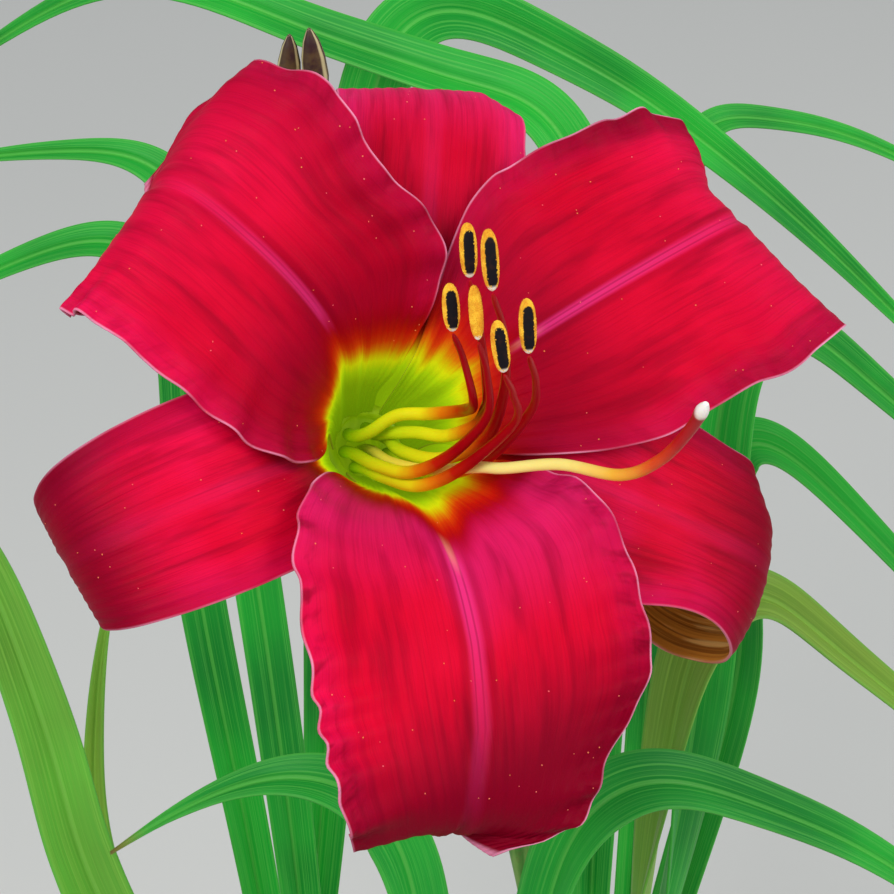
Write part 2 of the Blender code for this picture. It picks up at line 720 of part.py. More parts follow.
def make_stalk(finish):
    """The short stalk between the scape's side and the foot of the bloom's tube."""
    path = scape_path()
    start = path[round(STALK_LEAVES_AT * (len(path) - 1))]
    axis = unit(BLOOM_AXIS)
    end = np.asarray(THROAT) - axis * (TUBE_LENGTH + 1.6 * SEAT_GAP)
    away = unit((end - start) * (1, 1, 0.2))
    start = start + away * (SCAPE_NECK_RADIUS + 0.2 * MM + 2 * SEAT_GAP)
    guide = (start, start + away * 4 * MM, end - axis * 5 * MM, end)
    tube("bloom_stalk", smooth_path(guide, 9), [STALK_RADIUS] * 9, finish, 12)


@dataclass(frozen=True)
class Bud:
    """A closed bud on the scape's end: its foot off the middle of the end, and the way it points."""

    name: str
    foot: tuple
    direction: tuple
    length: float
    radius: float


BUDS = (
    Bud("bud_1", (-2.8 * MM, -0.2 * MM), (0.07, -0.05, 1.0), 15 * MM, 2.1 * MM),
    Bud("bud_2", (2.8 * MM, -0.6 * MM), (-0.08, -0.05, 1.0), 15 * MM, 2.2 * MM),
)
BUD_PROFILE = ((0.45, 0.0), (0.8, 0.15), (1.0, 0.4), (0.9, 0.65), (0.6, 0.85), (0.2, 0.98), (0.0, 1.0))


def make_buds(finish):
    path = scape_path()
    x, y, z = axes_along(path[-1] - path[-2])
    for bud in BUDS:
        foot = path[-1] + bud.foot[0] * x + bud.foot[1] * y + z * (SEAT_GAP + 0.3 * bud.radius)
        profile = [(bud.radius * wide, bud.length * high) for wide, high in BUD_PROFILE]
        turned(bud.name, profile, finish, 12, (foot, *axes_along(bud.direction)))


# ---------------------------------------------------------------- pot, soil, crowns


def cut(target, cutter_name, profile, sides, frame, squash=(1.0, 1.0)):
    """Take a turned cutter away from a solid."""
    cutter = turned(cutter_name, profile, target.data.materials[0], sides, frame, squash)
    cutter.hide_render = True
    cutter.display_type = "WIRE"
    modifier = target.modifiers.new(cutter_name, "BOOLEAN")
    modifier.operation = "DIFFERENCE"
    modifier.solver = "EXACT"
    modifier.object = cutter


def upright_at(x, y, bearing=0.0):
    turn = math.radians(bearing)
    return (x, y, 0), (math.cos(turn), math.sin(turn), 0), (-math.sin(turn), math.cos(turn), 0), (0, 0, 1)


def pot_radius(height):
    """The body's outer radius at a height."""
    return POT_BASE_RADIUS + (POT_MOUTH_RADIUS - RIM_STEP - POT_BASE_RADIUS) * height / POT_HEIGHT


def make_pot(finish):
    rim_foot = POT_HEIGHT - RIM_HEIGHT
    profile = (
        (POT_BASE_RADIUS - 1.5 * MM, 0),
        (POT_BASE_RADIUS, 1.5 * MM),
        (pot_radius(rim_foot), rim_foot),
        (POT_MOUTH_RADIUS - 3 * MM, rim_foot + 1.5 * MM),
        (POT_MOUTH_RADIUS - 2 * MM, rim_foot + 3.5 * MM),
        (POT_MOUTH_RADIUS, POT_HEIGHT - 2.5 * MM),
        (POT_MOUTH_RADIUS - 1.5 * MM, POT_HEIGHT - 0.6 * MM),
        (POT_MOUTH_RADIUS - 3.5 * MM, POT_HEIGHT),
        (pot_radius(POT_HEIGHT) - POT_WALL + 2 * MM, POT_HEIGHT - 0.8 * MM),
        (pot_radius(POT_HEIGHT) - POT_WALL, POT_HEIGHT - 3 * MM),
        (pot_radius(POT_FLOOR) - POT_WALL, POT_FLOOR),
        (0, POT_FLOOR),
    )
    pot = turned("pot", profile, finish, POT_SIDES)
    bore = ((DRAIN_HOLE_RADIUS, -2 * MM), (DRAIN_HOLE_RADIUS, POT_FLOOR + 2 * MM))
    for number in range(DRAIN_HOLES):
        turn = 2 * math.pi * (number + 0.5) / DRAIN_HOLES
        place = upright_at(DRAIN_RING_RADIUS * math.cos(turn), DRAIN_RING_RADIUS * math.sin(turn))
        cut(pot, f"cut_drain_{number + 1}", bore, 16, place)


def make_soil(finish):
    """Soil that fills the pot to below its rim, with a plain hole for each crown."""
    low = POT_FLOOR + SEAT_GAP
    high = POT_HEIGHT - SOIL_BELOW_RIM
    foot_radius = pot_radius(low) - POT_WALL - SEAT_GAP
    top_radius = pot_radius(high) - POT_WALL - SEAT_GAP
    profile = [(foot_radius, low), (top_radius, high)]
    profile += [(top_radius * share, high + SOIL_MOUND * (1 - share**2)) for share in (0.8, 0.6, 0.4, 0.2, 0)]
    soil = turned("soil", profile, finish, POT_SIDES)
    for fan in FANS:
        half_length = (CROWN_HALF_LENGTH + HOLE_MARGIN) / CROWN_HALF_WIDTH
        half_width = 1 + HOLE_MARGIN / CROWN_HALF_WIDTH
        hole = (
            (CROWN_HALF_WIDTH, CROWN_TOP - CROWN_DEPTH - SEAT_GAP),
            (CROWN_HALF_WIDTH, POT_HEIGHT),
        )
        place = upright_at(*fan.middle, fan.bearing)
        cut(soil, f"cut_{fan.name}", hole, CROWN_SIDES, place, (half_length, half_width))


def make_crowns(finish):
    for fan in FANS:
        profile = (
            (CROWN_HALF_WIDTH - 2 * MM, CROWN_TOP - CROWN_DEPTH),
            (CROWN_HALF_WIDTH, CROWN_TOP - CROWN_DEPTH + 3 * MM),
            (CROWN_HALF_WIDTH, CROWN_TOP - 0.8 * MM),
            (CROWN_HALF_WIDTH - 0.5 * MM, CROWN_TOP),
        )
        squash = (CROWN_HALF_LENGTH / CROWN_HALF_WIDTH, 1.0)
        place = upright_at(*fan.middle, fan.bearing)
        crown = turned(f"crown_{fan.name}", profile, finish, CROWN_SIDES, place, squash)
        if fan is SCAPE_FAN:
            bore_radius = SCAPE_FOOT_RADIUS + SEAT_GAP
            bore = ((bore_radius, CROWN_TOP - SCAPE_SOCKET_DEPTH), (bore_radius, CROWN_TOP + 2 * MM))
            cut(crown, "cut_scape_socket", bore, SCAPE_SIDES, upright_at(*fan.middle))


# ---------------------------------------------------------------- assembly


def clear_scene():
    for thing in list(bpy.data.objects):
        bpy.data.objects.remove(thing)


def main():
    clear_scene()
    petal_red = material("petal_red", (0.62, 0.01, 0.03), 0.45)
    tube_green = material("tube_green", (0.45, 0.5, 0.05), 0.45)
    filament_red = material("filament_red", (0.6, 0.08, 0.02), 0.4)
    anther_dark = material("anther_dark", (0.1, 0.05, 0.03), 0.6)
    pistil_cream = material("pistil_cream", (0.8, 0.55, 0.15), 0.4)
    scape_green = material("scape_green", (0.1, 0.3, 0.06), 0.45)
    leaf_green = material("leaf_green", (0.05, 0.28, 0.05), 0.45)
    crown_pale = material("crown_pale", (0.5, 0.5, 0.3), 0.6)
    terracotta = material("terracotta", (0.55, 0.2, 0.1), 0.85)
    soil_brown = material("soil_brown", (0.06, 0.04, 0.03), 0.95)

    make_pot(terracotta)
    make_soil(soil_brown)
    make_crowns(crown_pale)
    for fan in FANS:
        for number, leaf in enumerate(fan.leaves, 1):
            blade(f"leaf_{fan.name}_{number}", leaf_grid(leaf, fan), LEAF_THICKNESS, leaf_green)
    make_scape(scape_green)
    make_stalk(scape_green)
    make_buds(scape_green)
    make_flower_tube(tube_green)
    for tepal in PETALS + SEPALS:
        blade(tepal.name, tepal_grid(tepal), TEPAL_THICKNESS, petal_red)
    make_stamens(filament_red, anther_dark)
    make_pistil(pistil_cream)


main()
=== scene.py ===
"""Looks of a red daylily in a plain terracotta pot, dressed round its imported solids.

Metres, +Z up.  The origin is the middle of the pot's flat base.
Every class below is one sub-assembly: it holds its sizes as fields, builds its meshes and dresses them.
"""

from __future__ import annotations

import logging
import math
from dataclasses import dataclass, replace
from enum import Enum
from functools import cache, partialmethod
from typing import Any, Mapping, Sequence

import bpy
import numpy as np
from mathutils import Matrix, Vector


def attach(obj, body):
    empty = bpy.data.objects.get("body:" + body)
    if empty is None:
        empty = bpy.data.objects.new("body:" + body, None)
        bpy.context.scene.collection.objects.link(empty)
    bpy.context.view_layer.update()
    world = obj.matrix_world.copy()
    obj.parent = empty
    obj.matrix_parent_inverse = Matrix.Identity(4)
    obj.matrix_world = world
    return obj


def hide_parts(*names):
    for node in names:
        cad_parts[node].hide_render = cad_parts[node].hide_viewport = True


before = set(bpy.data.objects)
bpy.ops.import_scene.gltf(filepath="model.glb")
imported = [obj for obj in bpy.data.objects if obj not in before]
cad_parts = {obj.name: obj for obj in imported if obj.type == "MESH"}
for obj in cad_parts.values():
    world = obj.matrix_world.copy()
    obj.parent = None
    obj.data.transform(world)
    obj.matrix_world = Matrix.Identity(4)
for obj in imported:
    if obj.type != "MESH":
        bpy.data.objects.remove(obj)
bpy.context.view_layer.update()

LOG = logging.getLogger("daylily")
MM = 0.001
BODY = "root"
SEAT_GAP = 0.3 * MM  # between two pieces that touch on the real plant
UPRIGHT = ((0, 0, 0), (1, 0, 0), (0, 1, 0), (0, 0, 1))  # the row frame's own origin and axes
BLACK = (0.0, 0.0, 0.0, 1.0)


class Slot(Enum):
    """The material slots of the part's record."""

    PETAL = "petal"
    SEPAL = "sepal"
    TUBE = "flower_tube"
    FILAMENT = "filament"
    ANTHER = "anther"
    PISTIL = "pistil"
    STEM = "stem"
    BUD = "bud"
    LEAF = "leaf"
    CROWN = "crown"
    SOIL = "soil"
    POT = "pot"


# ---------------------------------------------------------------- small maths


def smooth(value: Any, low: Any, high: Any) -> Any:
    """Ease from 0 to 1 between two limits.

    Args:
        value: A number or an array of them.
        low: Where the ease starts from 0.
        high: Where it reaches 1.

    Returns:
        The eased share, of value's shape.
    """
    share = np.clip((value - low) / (high - low), 0, 1)
    return share * share * (3 - 2 * share)


def unit(vector: Any) -> np.ndarray:
    """The vector at a length of 1."""
    return np.asarray(vector, float) / np.linalg.norm(vector)


def soft_least(one: np.ndarray, other: np.ndarray, power: float = 14.0) -> np.ndarray:
    """The smaller of two positive sizes, eased where they cross, and never more than either."""
    return (one**-power + other**-power) ** (-1 / power)


def axes_along(direction: Any, sideways: Any = (1, 0, 0)) -> tuple[np.ndarray, np.ndarray, np.ndarray]:
    """Three square axes.

    Args:
        direction: Where z points.
        sideways: Where x points, as nearly as it can.

    Returns:
        The unit vectors x, y and z.
    """
    z = unit(direction)
    x = unit(np.asarray(sideways, float) - np.dot(sideways, z) * z)
    return x, np.cross(z, x), z


def eased(line: np.ndarray, reach: float) -> np.ndarray:
    """The same line with its tight turns opened out, and its ends kept.

    Args:
        line: Its points.
        reach: The length over which a turn is opened.

    Returns:
        The eased line's points, about a millimetre apart.
    """
    run = np.concatenate([[0], np.cumsum(np.linalg.norm(np.diff(line, axis=0), axis=1))])
    stops = np.linspace(0, run[-1], int(run[-1] / MM) + 1)
    even = np.stack([np.interp(stops, run, line[:, k]) for k in range(3)], axis=1)
    span = int(3 * reach / MM)  # past three reaches a point counts for nothing
    weight = np.exp(-0.5 * (np.arange(-span, span + 1) * MM / reach) ** 2)
    longer = np.vstack([2 * even[0] - even[span:0:-1], even, 2 * even[-1] - even[-2 : -span - 2 : -1]])
    return np.stack([np.convolve(longer[:, k], weight / weight.sum(), "valid") for k in range(3)], axis=1)


def smooth_path(points: Any, count: int, bend_weight: float = 0.0, reach: float = 0.0) -> np.ndarray:
    """Points on one smooth curve through a few guide points.

    Args:
        points: The guide points, in metres.
        count: How many points the curve gets.
        bend_weight: Metres of extra length that each radian of turning counts for, to crowd points into bends.
        reach: The length over which tight turns are opened out.

    Returns:
        An array of count points.
    """
    between_guides = 40
    guide = np.asarray(points, float)
    guide = np.vstack([2 * guide[0] - guide[1], guide, 2 * guide[-1] - guide[-2]])
    dense = []
    for k in range(1, len(guide) - 2):
        before, start, end, after = guide[k - 1 : k + 3]
        for t in np.linspace(0, 1, between_guides, endpoint=False):
            steady = (end - before) * t + (2 * before - 5 * start + 4 * end - after) * t**2
            dense.append(0.5 * (2 * start + steady + (3 * start - before - 3 * end + after) * t**3))
    dense.append(guide[-2])
    line = eased(np.array(dense), reach) if reach else np.array(dense)
    steps = np.diff(line, axis=0)
    length = np.linalg.norm(steps, axis=1)
    tangent = steps / length[:, None]
    turning = np.concatenate([[0], np.linalg.norm(np.diff(tangent, axis=0), axis=1)])
    run = np.concatenate([[0], np.cumsum(length + bend_weight * turning)])
    stops = np.linspace(0, run[-1], count)
    return np.stack([np.interp(stops, run, line[:, k]) for k in range(3)], axis=1)


def rgb(red: float, green: float, blue: float) -> tuple[float, float, float, float]:
    """A colour as a shader wants it.

    Args:
        red: Screen value from 0 to 255, as are the other two.
        green: The second value.
        blue: The third value.

    Returns:
        Linear red, green and blue, and a full alpha.
    """
    shares = (value / 255 for value in (red, green, blue))
    linear = [share / 12.92 if share <= 0.04045 else ((share + 0.055) / 1.055) ** 2.4 for share in shares]
    return (*linear, 1.0)


# ---------------------------------------------------------------- node trees as expressions


class Sock:
    """An output socket that takes part in Python sums."""

    def __init__(self, graph: Graph, link: bpy.types.NodeSocket) -> None:
        """Keep the tree and the socket."""
        self.graph = graph
        self.link = link

    def maths(self, operation: str, other: Any = 0.0, swapped: bool = False) -> Sock:
        """One Math node on this socket.

        Args:
            operation: The node's operation.
            other: The second value or socket.
            swapped: True puts other first.

        Returns:
            The node's output.
        """
        first, second = (other, self) if swapped else (self, other)
        return self.graph.node("ShaderNodeMath", {"operation": operation}, {0: first, 1: second})

    __add__ = __radd__ = partialmethod(maths, "ADD")
    __sub__ = partialmethod(maths, "SUBTRACT")
    __rsub__ = partialmethod(maths, "SUBTRACT", swapped=True)
    __mul__ = __rmul__ = partialmethod(maths, "MULTIPLY")
    __truediv__ = partialmethod(maths, "DIVIDE")
    __rtruediv__ = partialmethod(maths, "DIVIDE", swapped=True)
    __pow__ = partialmethod(maths, "POWER")

    def size(self) -> Sock:
        """Absolute value."""
        return self.maths("ABSOLUTE")

    def wave(self) -> Sock:
        """Sine, of radians."""
        return self.maths("SINE")

    def between(self, low: float, high: float) -> Sock:
        """Smooth ease from 0 at low to 1 at high.

        Args:
            low: Where the result is 0.
            high: Where the result is 1.

        Returns:
            The eased socket.
        """
        if low > high:
            return 1 - self.between(high, low)
        settings = {"interpolation_type": "SMOOTHSTEP"}
        return self.graph.node("ShaderNodeMapRange", settings, {0: self, 1: low, 2: high})


class Graph:
    """A shader or geometry tree that is written as expressions."""

    def __init__(self, tree: bpy.types.NodeTree) -> None:
        """Keep the tree."""
        self.tree = tree

    def node(
        self,
        kind: str,
        settings: Mapping[str, Any] | None = None,
        sockets: Mapping[Any, Any] | None = None,
        output: int | str = 0,
    ) -> Sock:
        """Add any node.

        Args:
            kind: The node's type.
            settings: Its properties, set first; "stops" holds a ramp's (place, colour) pairs.
            sockets: Values or links of its inputs, by name or number.
            output: The output that is wanted.

        Returns:
            That output.
        """
        made = self.tree.nodes.new(kind)
        for name, value in (settings or {}).items():
            if name == "stops":
                elements = made.color_ramp.elements
                while len(elements) < len(value):
                    elements.new(0.5)
                for element, (place, colour) in zip(elements, value):
                    element.position = place
                    element.color = colour
            else:
                setattr(made, name, value)
        for key, value in (sockets or {}).items():
            if isinstance(value, Sock):
                self.tree.links.new(value.link, made.inputs[key])
            else:
                made.inputs[key].default_value = value
        return Sock(self, made.outputs[output])

    def layer(self, name: str) -> Sock:
        """A number that the mesh carries at each point, for a shader."""
        return self.node("ShaderNodeAttribute", {"attribute_name": name}, output="Fac")

    def carried(self, name: str, kind: str = "FLOAT") -> Sock:
        """A value that the mesh carries at each point, for a geometry tree."""
        settings = {"data_type": kind}
        return self.node("GeometryNodeInputNamedAttribute", settings, {"Name": name})

    def place(self) -> Sock:
        """The surface point in the piece's own frame."""
        return self.node("ShaderNodeTexCoord", output="Object")

    def vector(self, x: Any = 0.0, y: Any = 0.0, z: Any = 0.0) -> Sock:
        """A vector from three numbers or sockets."""
        return self.node("ShaderNodeCombineXYZ", None, {0: x, 1: y, 2: z})

    def scaled(self, vector: Sock, size: Sock) -> Sock:
        """A vector at so many times its length."""
        return self.node("ShaderNodeVectorMath", {"operation": "SCALE"}, {0: vector, "Scale": size})

    def noise(self, where: Sock, scale: float, detail: float = 2.0, rough: float = 0.5) -> Sock:
        """Cloudy noise.

        Args:
            where: The point it is read at.
            scale: Its frequency.
            detail: How many octaves it has.
            rough: How strong the fine octaves are.

        Returns:
            A socket round 0.5.
        """
        sockets = {"Vector": where, "Scale": scale, "Detail": detail, "Roughness": rough}
        return self.node("ShaderNodeTexNoise", None, sockets, "Fac")

    def mix(self, share: Any, low: Any, high: Any, how: str = "MIX") -> Sock:
        """Blend two colours.

        Args:
            share: How much of high is taken.
            low: The first colour.
            high: The second colour.
            how: The way of blending.

        Returns:
            The blended colour.
        """
        settings = {"data_type": "RGBA", "blend_type": how}
        return self.node("ShaderNodeMix", settings, {0: share, 6: low, 7: high}, 2)

    def ramp(self, share: Sock, stops: Sequence[tuple[float, tuple]]) -> Sock:
        """A colour that changes evenly from stop to stop, (place, colour) pairs, along a share."""
        return self.node("ShaderNodeValToRGB", {"stops": stops}, {0: share})


# ---------------------------------------------------------------- meshes


def carry(mesh: bpy.types.Mesh, layers: Mapping[str, np.ndarray]) -> None:
    """Give the points of a mesh numbers or vectors to carry.

    Args:
        mesh: The mesh.
        layers: A number or a vector for each point, by name.
    """
    for layer, values in layers.items():
        kind, field = ("FLOAT", "value") if np.ndim(values) == 1 else ("FLOAT_VECTOR", "vector")
        mesh.attributes.new(layer, kind, "POINT").data.foreach_set(field, np.asarray(values, float).ravel())


def points_of(piece: bpy.types.Object) -> np.ndarray:
    """The points of a piece's mesh, one row each."""
    return np.array([vertex.co[:] for vertex in piece.data.vertices])


def mesh_object(
    name: str,
    points: np.ndarray,
    faces: Sequence[Sequence[int]],
    layers: Mapping[str, np.ndarray] | None = None,
) -> bpy.types.Object:
    """A smooth mesh object at the origin.

    Args:
        name: Its name.
        points: Its points in the row frame.
        faces: Its faces as lists of point numbers, none for a line.
        layers: Numbers or vectors that each point carries, by name.

    Returns:
        The linked object.
    """
    mesh = bpy.data.meshes.new(name)
    edges = [] if len(faces) else [(k, k + 1) for k in range(len(points) - 1)]
    mesh.from_pydata(np.asarray(points, float).tolist(), edges, [list(map(int, face)) for face in faces])
    mesh.update()
    carry(mesh, layers or {})
    if len(faces):
        mesh.shade_smooth()
    piece = bpy.data.objects.new(name, mesh)
    bpy.context.scene.collection.objects.link(piece)
    return piece


def bake(piece: bpy.types.Object, finish: Finish) -> None:
    """Put the result of a piece's modifiers into its mesh, take them off, and give it one finish.

    Args:
        piece: The piece with its modifiers.
        finish: What it is made of.
    """
    shown = piece.evaluated_get(bpy.context.evaluated_depsgraph_get())
    mesh = bpy.data.meshes.new_from_object(shown)
    piece.modifiers.clear()
    piece.data = mesh
    mesh.materials.clear()
    mesh.materials.append(finish.make())
    mesh.polygons.foreach_set("material_index", np.zeros(len(mesh.polygons), int))


def seat(piece: bpy.types.Object, slot: Slot, *nodes: str) -> bpy.types.Object:
    """Tie a finished piece to the part.

    Args:
        piece: The piece, at its place in the row frame.
        slot: The record's slot; not used.
        nodes: The solids that it stands for.

    Returns:
        The same piece.
    """
    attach(piece, BODY)
    if nodes:
        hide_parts(*nodes)
    LOG.info("%s: %d faces, stands for %s", piece.name, len(piece.data.polygons), ", ".join(nodes) or "itself")
    return piece


def sheet_object(
    name: str, grid: np.ndarray, thickness: np.ndarray, layers: Mapping[str, np.ndarray]
) -> bpy.types.Object:
    """A closed thin blade round a grid of points.

    Args:
        name: The object's name.
        grid: Rows by columns of points on the blade's middle surface.
        thickness: The blade's thickness at each of them.
        layers: A number at each of them, by name.

    Returns:
        The object, which also carries "upper", 1 on its upper face, and "lift", the upper face's normal.
    """
    rows, columns = grid.shape[:2]
    normals = np.cross(np.gradient(grid, axis=0), np.gradient(grid, axis=1))
    normals = normals / np.maximum(np.linalg.norm(normals, axis=2, keepdims=True), 1e-12)
    half = normals * thickness[:, :, None] / 2
    count = rows * columns
    number = np.arange(count).reshape(rows, columns)
    a, b = number[:-1, :-1].ravel(), number[1:, :-1].ravel()
    c, d = number[1:, 1:].ravel(), number[:-1, 1:].ravel()
    upper = np.stack([a, b, c, d], axis=1)
    lower = np.stack([a, d, c, b], axis=1) + count
    ring = np.concatenate([number[:, 0], number[-1, 1:], number[-2::-1, -1], number[0, -2:0:-1]])
    after = np.roll(ring, -1)
    border = np.stack([ring, ring + count, after + count, after], axis=1)
    faces = np.vstack([upper, lower, border])
    points = np.vstack([(grid + half).reshape(-1, 3), (grid - half).reshape(-1, 3)])
    carried = {key: np.tile(np.broadcast_to(value, (rows, columns)).ravel(), 2) for key, value in layers.items()}
    carried["upper"] = np.repeat([1.0, 0.0], count)
    carried["lift"] = np.tile(normals.reshape(-1, 3), (2, 1))
    return mesh_object(name, points, faces, carried)


def lathe_object(
    name: str,
    profile: np.ndarray,
    sides: int,
    frame_axes: tuple[Any, Any, Any, Any],
    finish: Finish | None = None,
    flute: float = 0.0,
    flutes: int = 0,
    squash: tuple[float, float] = (1.0, 1.0),
) -> bpy.types.Object:
    """A closed solid turned round its own z axis.

    Args:
        name: The object's name.
        profile: (radius, height) rows from foot to top; the first and last lie on the axis.
        sides: How many sides it gets.
        frame_axes: Its origin and its x, y and z axes.
        finish: What it is made of.
        flute: How deep its flutes are, as a share of the radius.
        flutes: How many flutes run from foot to top.
        squash: Stretch of the round section along x and y.

    Returns:
        The object, which carries "along", 0 at the foot and 1 at the top, and "turn", radians round the axis.
    """
    turn = np.linspace(0, 2 * math.pi, sides, endpoint=False)
    inner = np.asarray(profile, float)[1:-1]
    radius = inner[:, :1] * (1 + flute * np.cos(flutes * turn)[None, :])
    height = np.broadcast_to(inner[:, 1:], radius.shape)
    rings = np.stack([radius * np.cos(turn) * squash[0], radius * np.sin(turn) * squash[1], height], axis=2)
    rows = len(inner)
    number = np.arange(rows * sides).reshape(rows, sides)
    beside = np.roll(number, -1, axis=1)
    faces = np.stack([number[:-1], beside[:-1], beside[1:], number[1:]], axis=2).reshape(-1, 4).tolist()
    foot, top = rows * sides, rows * sides + 1
    faces += [[foot, int(beside[0, k]), int(number[0, k])] for k in range(sides)]
    faces += [[top, int(number[-1, k]), int(beside[-1, k])] for k in range(sides)]
    ends = [(0, 0, profile[0][1]), (0, 0, profile[-1][1])]
    points = np.vstack([rings.reshape(-1, 3), ends])
    share = np.linspace(0, 1, rows)
    layers = {
        "along": np.concatenate([np.repeat(share, sides), [0.0, 1.0]]),
        "turn": np.concatenate([np.tile(turn, rows), [0.0, 0.0]]),
    }
    origin, x, y, z = (np.asarray(axis, float) for axis in frame_axes)
    made = mesh_object(name, origin + points @ np.stack([x, y, z]), faces, layers)
    if finish:
        made.data.materials.append(finish.make())
    return made


# ---------------------------------------------------------------- geometry trees


class Tree:
    """A geometry tree with named inputs, which ends in plain painted geometry."""

    def __init__(self, name: str, inputs: Sequence[tuple[str, str]]) -> None:
        """Start a tree.

        Args:
            name: The tree's name.
            inputs: (name, socket type) of each input between the geometry and the finish.
        """
        self.group = bpy.data.node_groups.new(name, "GeometryNodeTree")
        face = self.group.interface
        face.new_socket("Geometry", in_out="INPUT", socket_type="NodeSocketGeometry")
        face.new_socket("Geometry", in_out="OUTPUT", socket_type="NodeSocketGeometry")
        for label, kind in (*inputs, ("Finish", "NodeSocketMaterial")):
            face.new_socket(label, in_out="INPUT", socket_type=kind)
        self.graph = Graph(self.group)
        self.entry = self.group.nodes.new("NodeGroupInput")

    def given(self, name: str) -> Sock:
        """The named input's socket."""
        return Sock(self.graph, self.entry.outputs[name])

    def close(self, geometry: Sock) -> Tree:
        """End the tree in plain, painted geometry.

        Args:
            geometry: What the tree has made.

        Returns:
            The tree itself.
        """
        real = self.graph.node("GeometryNodeRealizeInstances", None, {0: geometry})
        sockets = {"Geometry": real, "Material": self.given("Finish")}
        painted = self.graph.node("GeometryNodeSetMaterial", None, sockets)
        end = self.group.nodes.new("NodeGroupOutput")
        self.group.links.new(painted.link, end.inputs[0])
        return self

    def run(self, piece: bpy.types.Object, finish: Finish, **values: Any) -> bpy.types.Object:
        """Run the tree on a piece and bake the result.

        Args:
            piece: The piece that goes in.
            finish: What the result is made of.
            values: The other inputs, with _ for a space in their names.

        Returns:
            The same piece, with its new mesh.
        """
        values["finish"] = finish.make()
        modifier = piece.modifiers.new(self.group.name, "NODES")
        modifier.node_group = self.group
        for item in self.group.interface.items_tree:
            key = item.name.replace(" ", "_").lower()
            if item.item_type == "SOCKET" and item.in_out == "INPUT" and key in values:
                modifier[item.identifier] = values[key]
        bake(piece, finish)
        return piece


FLOAT = "NodeSocketFloat"
WHOLE = "NodeSocketInt"


@cache
def relief_tree() -> Tree:
    """The relief of a blade: midrib groove, lengthwise ribs, ruffled edges and soft buckles.

    Returns:
        The tree, which reads "across", "along", "side_mm" and "lift" from the blade.
    """
    sizes = ("Groove Depth", "Groove Width", "Rib Depth", "Rib Count", "Ruffle Depth", "Ruffle Waves")
    tree = Tree("blade_relief", [(label, FLOAT) for label in (*sizes, "Frill Depth", "Buckle Depth", "Seed")])
    g = tree.graph
    across, along, side = g.carried("across"), g.carried("along"), g.carried("side_mm")
    seed = tree.given("Seed")
    off_rib = side.size() / tree.given("Groove Width")
    groove = (1 - off_rib.between(0.0, 1.0)) - 0.6 * (1 - (off_rib - 1.35).size().between(0.0, 0.6))
    ribs = (across * tree.given("Rib Count") * math.pi).wave() * off_rib.between(0.5, 1.6)
    right = across.between(-0.05, 0.05)
    drift = g.noise(g.vector(along * 3.0, right * 7.0, seed), 1.0, 1.0) - 0.5
    turn = (along * tree.given("Ruffle Waves") + drift * 2.2 + right * 0.37) * (2 * math.pi)
    grown = along.between(0.24, 0.46)
    ruffle = turn.wave() * across.size() ** 3.5 * grown
    rough = g.noise(g.vector(along * 26.0, right * 5.0, seed), 1.0, 1.0) - 0.5
    frill = rough * across.size() ** 16.0 * grown
    buckle = g.noise(g.vector(across * 1.3, along * 2.6, seed), 1.0, 1.0) - 0.5
    height = (
        ruffle * tree.given("Ruffle Depth")
        + frill * tree.given("Frill Depth")
        + ribs * tree.given("Rib Depth")
        - groove * tree.given("Groove Depth")
        + buckle * tree.given("Buckle Depth") * along.between(0.3, 0.6)
    )
    sockets = {"Geometry": tree.given("Geometry"), "Offset": g.scaled(g.carried("lift", "FLOAT_VECTOR"), height)}
    return tree.close(g.node("GeometryNodeSetPosition", None, sockets))


@cache
def sweep_tree() -> Tree:
    """A round bar along a line of points that carry their own girth.

    Returns:
        The tree, which reads "girth", the radius in metres, from the line.
    """
    tree = Tree("stem_sweep", (("Sides", WHOLE),))
    g = tree.graph
    line = g.node("GeometryNodeMeshToCurve", None, {"Mesh": tree.given("Geometry")})
    ring = g.node("GeometryNodeCurvePrimitiveCircle", None, {"Resolution": tree.given("Sides"), "Radius": 1.0})
    sockets = {"Curve": line, "Profile Curve": ring, "Scale": g.carried("girth"), "Fill Caps": True}
    swept = g.node("GeometryNodeCurveToMesh", None, sockets)
    return tree.close(g.node("GeometryNodeSetShadeSmooth", None, {"Geometry": swept}))


@cache
def grain_tree() -> Tree:
    """Small rough grains strewn where the surface carries a share of them.

    Returns:
        The tree, which reads "grain", the share from 0 to 1, from the surface.
    """
    thin, thick, full_turn, spin_seed = 0.6, 1.35, 6.28, 7
    tree = Tree("grain_strew", (("Density", FLOAT), ("Grain Radius", FLOAT), ("Sink", FLOAT), ("Seed", WHOLE)))
    g = tree.graph
    radius, seed = tree.given("Grain Radius"), tree.given("Seed")
    vectors = {"data_type": "FLOAT_VECTOR"}
    sockets = {"Mesh": tree.given("Geometry"), "Density": tree.given("Density") * g.carried("grain"), "Seed": seed}
    spots = g.node("GeometryNodeDistributePointsOnFaces", None, sockets, "Points")
    facing = Sock(g, spots.link.node.outputs["Normal"])
    sunk = g.scaled(facing, radius * tree.given("Sink") * -1.0)
    settled = g.node("GeometryNodeSetPosition", None, {"Geometry": spots, "Offset": sunk})
    grain = g.node("GeometryNodeMeshIcoSphere", None, {"Radius": 1.0, "Subdivisions": 1}, "Mesh")
    uneven = g.node("FunctionNodeRandomValue", vectors, {0: (thin,) * 3, 1: (thick,) * 3, "Seed": seed})
    spin = g.node("FunctionNodeRandomValue", vectors, {0: (0.0,) * 3, 1: (full_turn,) * 3, "Seed": spin_seed})
    sockets = {"Points": settled, "Instance": grain, "Rotation": spin, "Scale": g.scaled(uneven, radius)}
    return tree.close(g.node("GeometryNodeInstanceOnPoints", None, sockets))


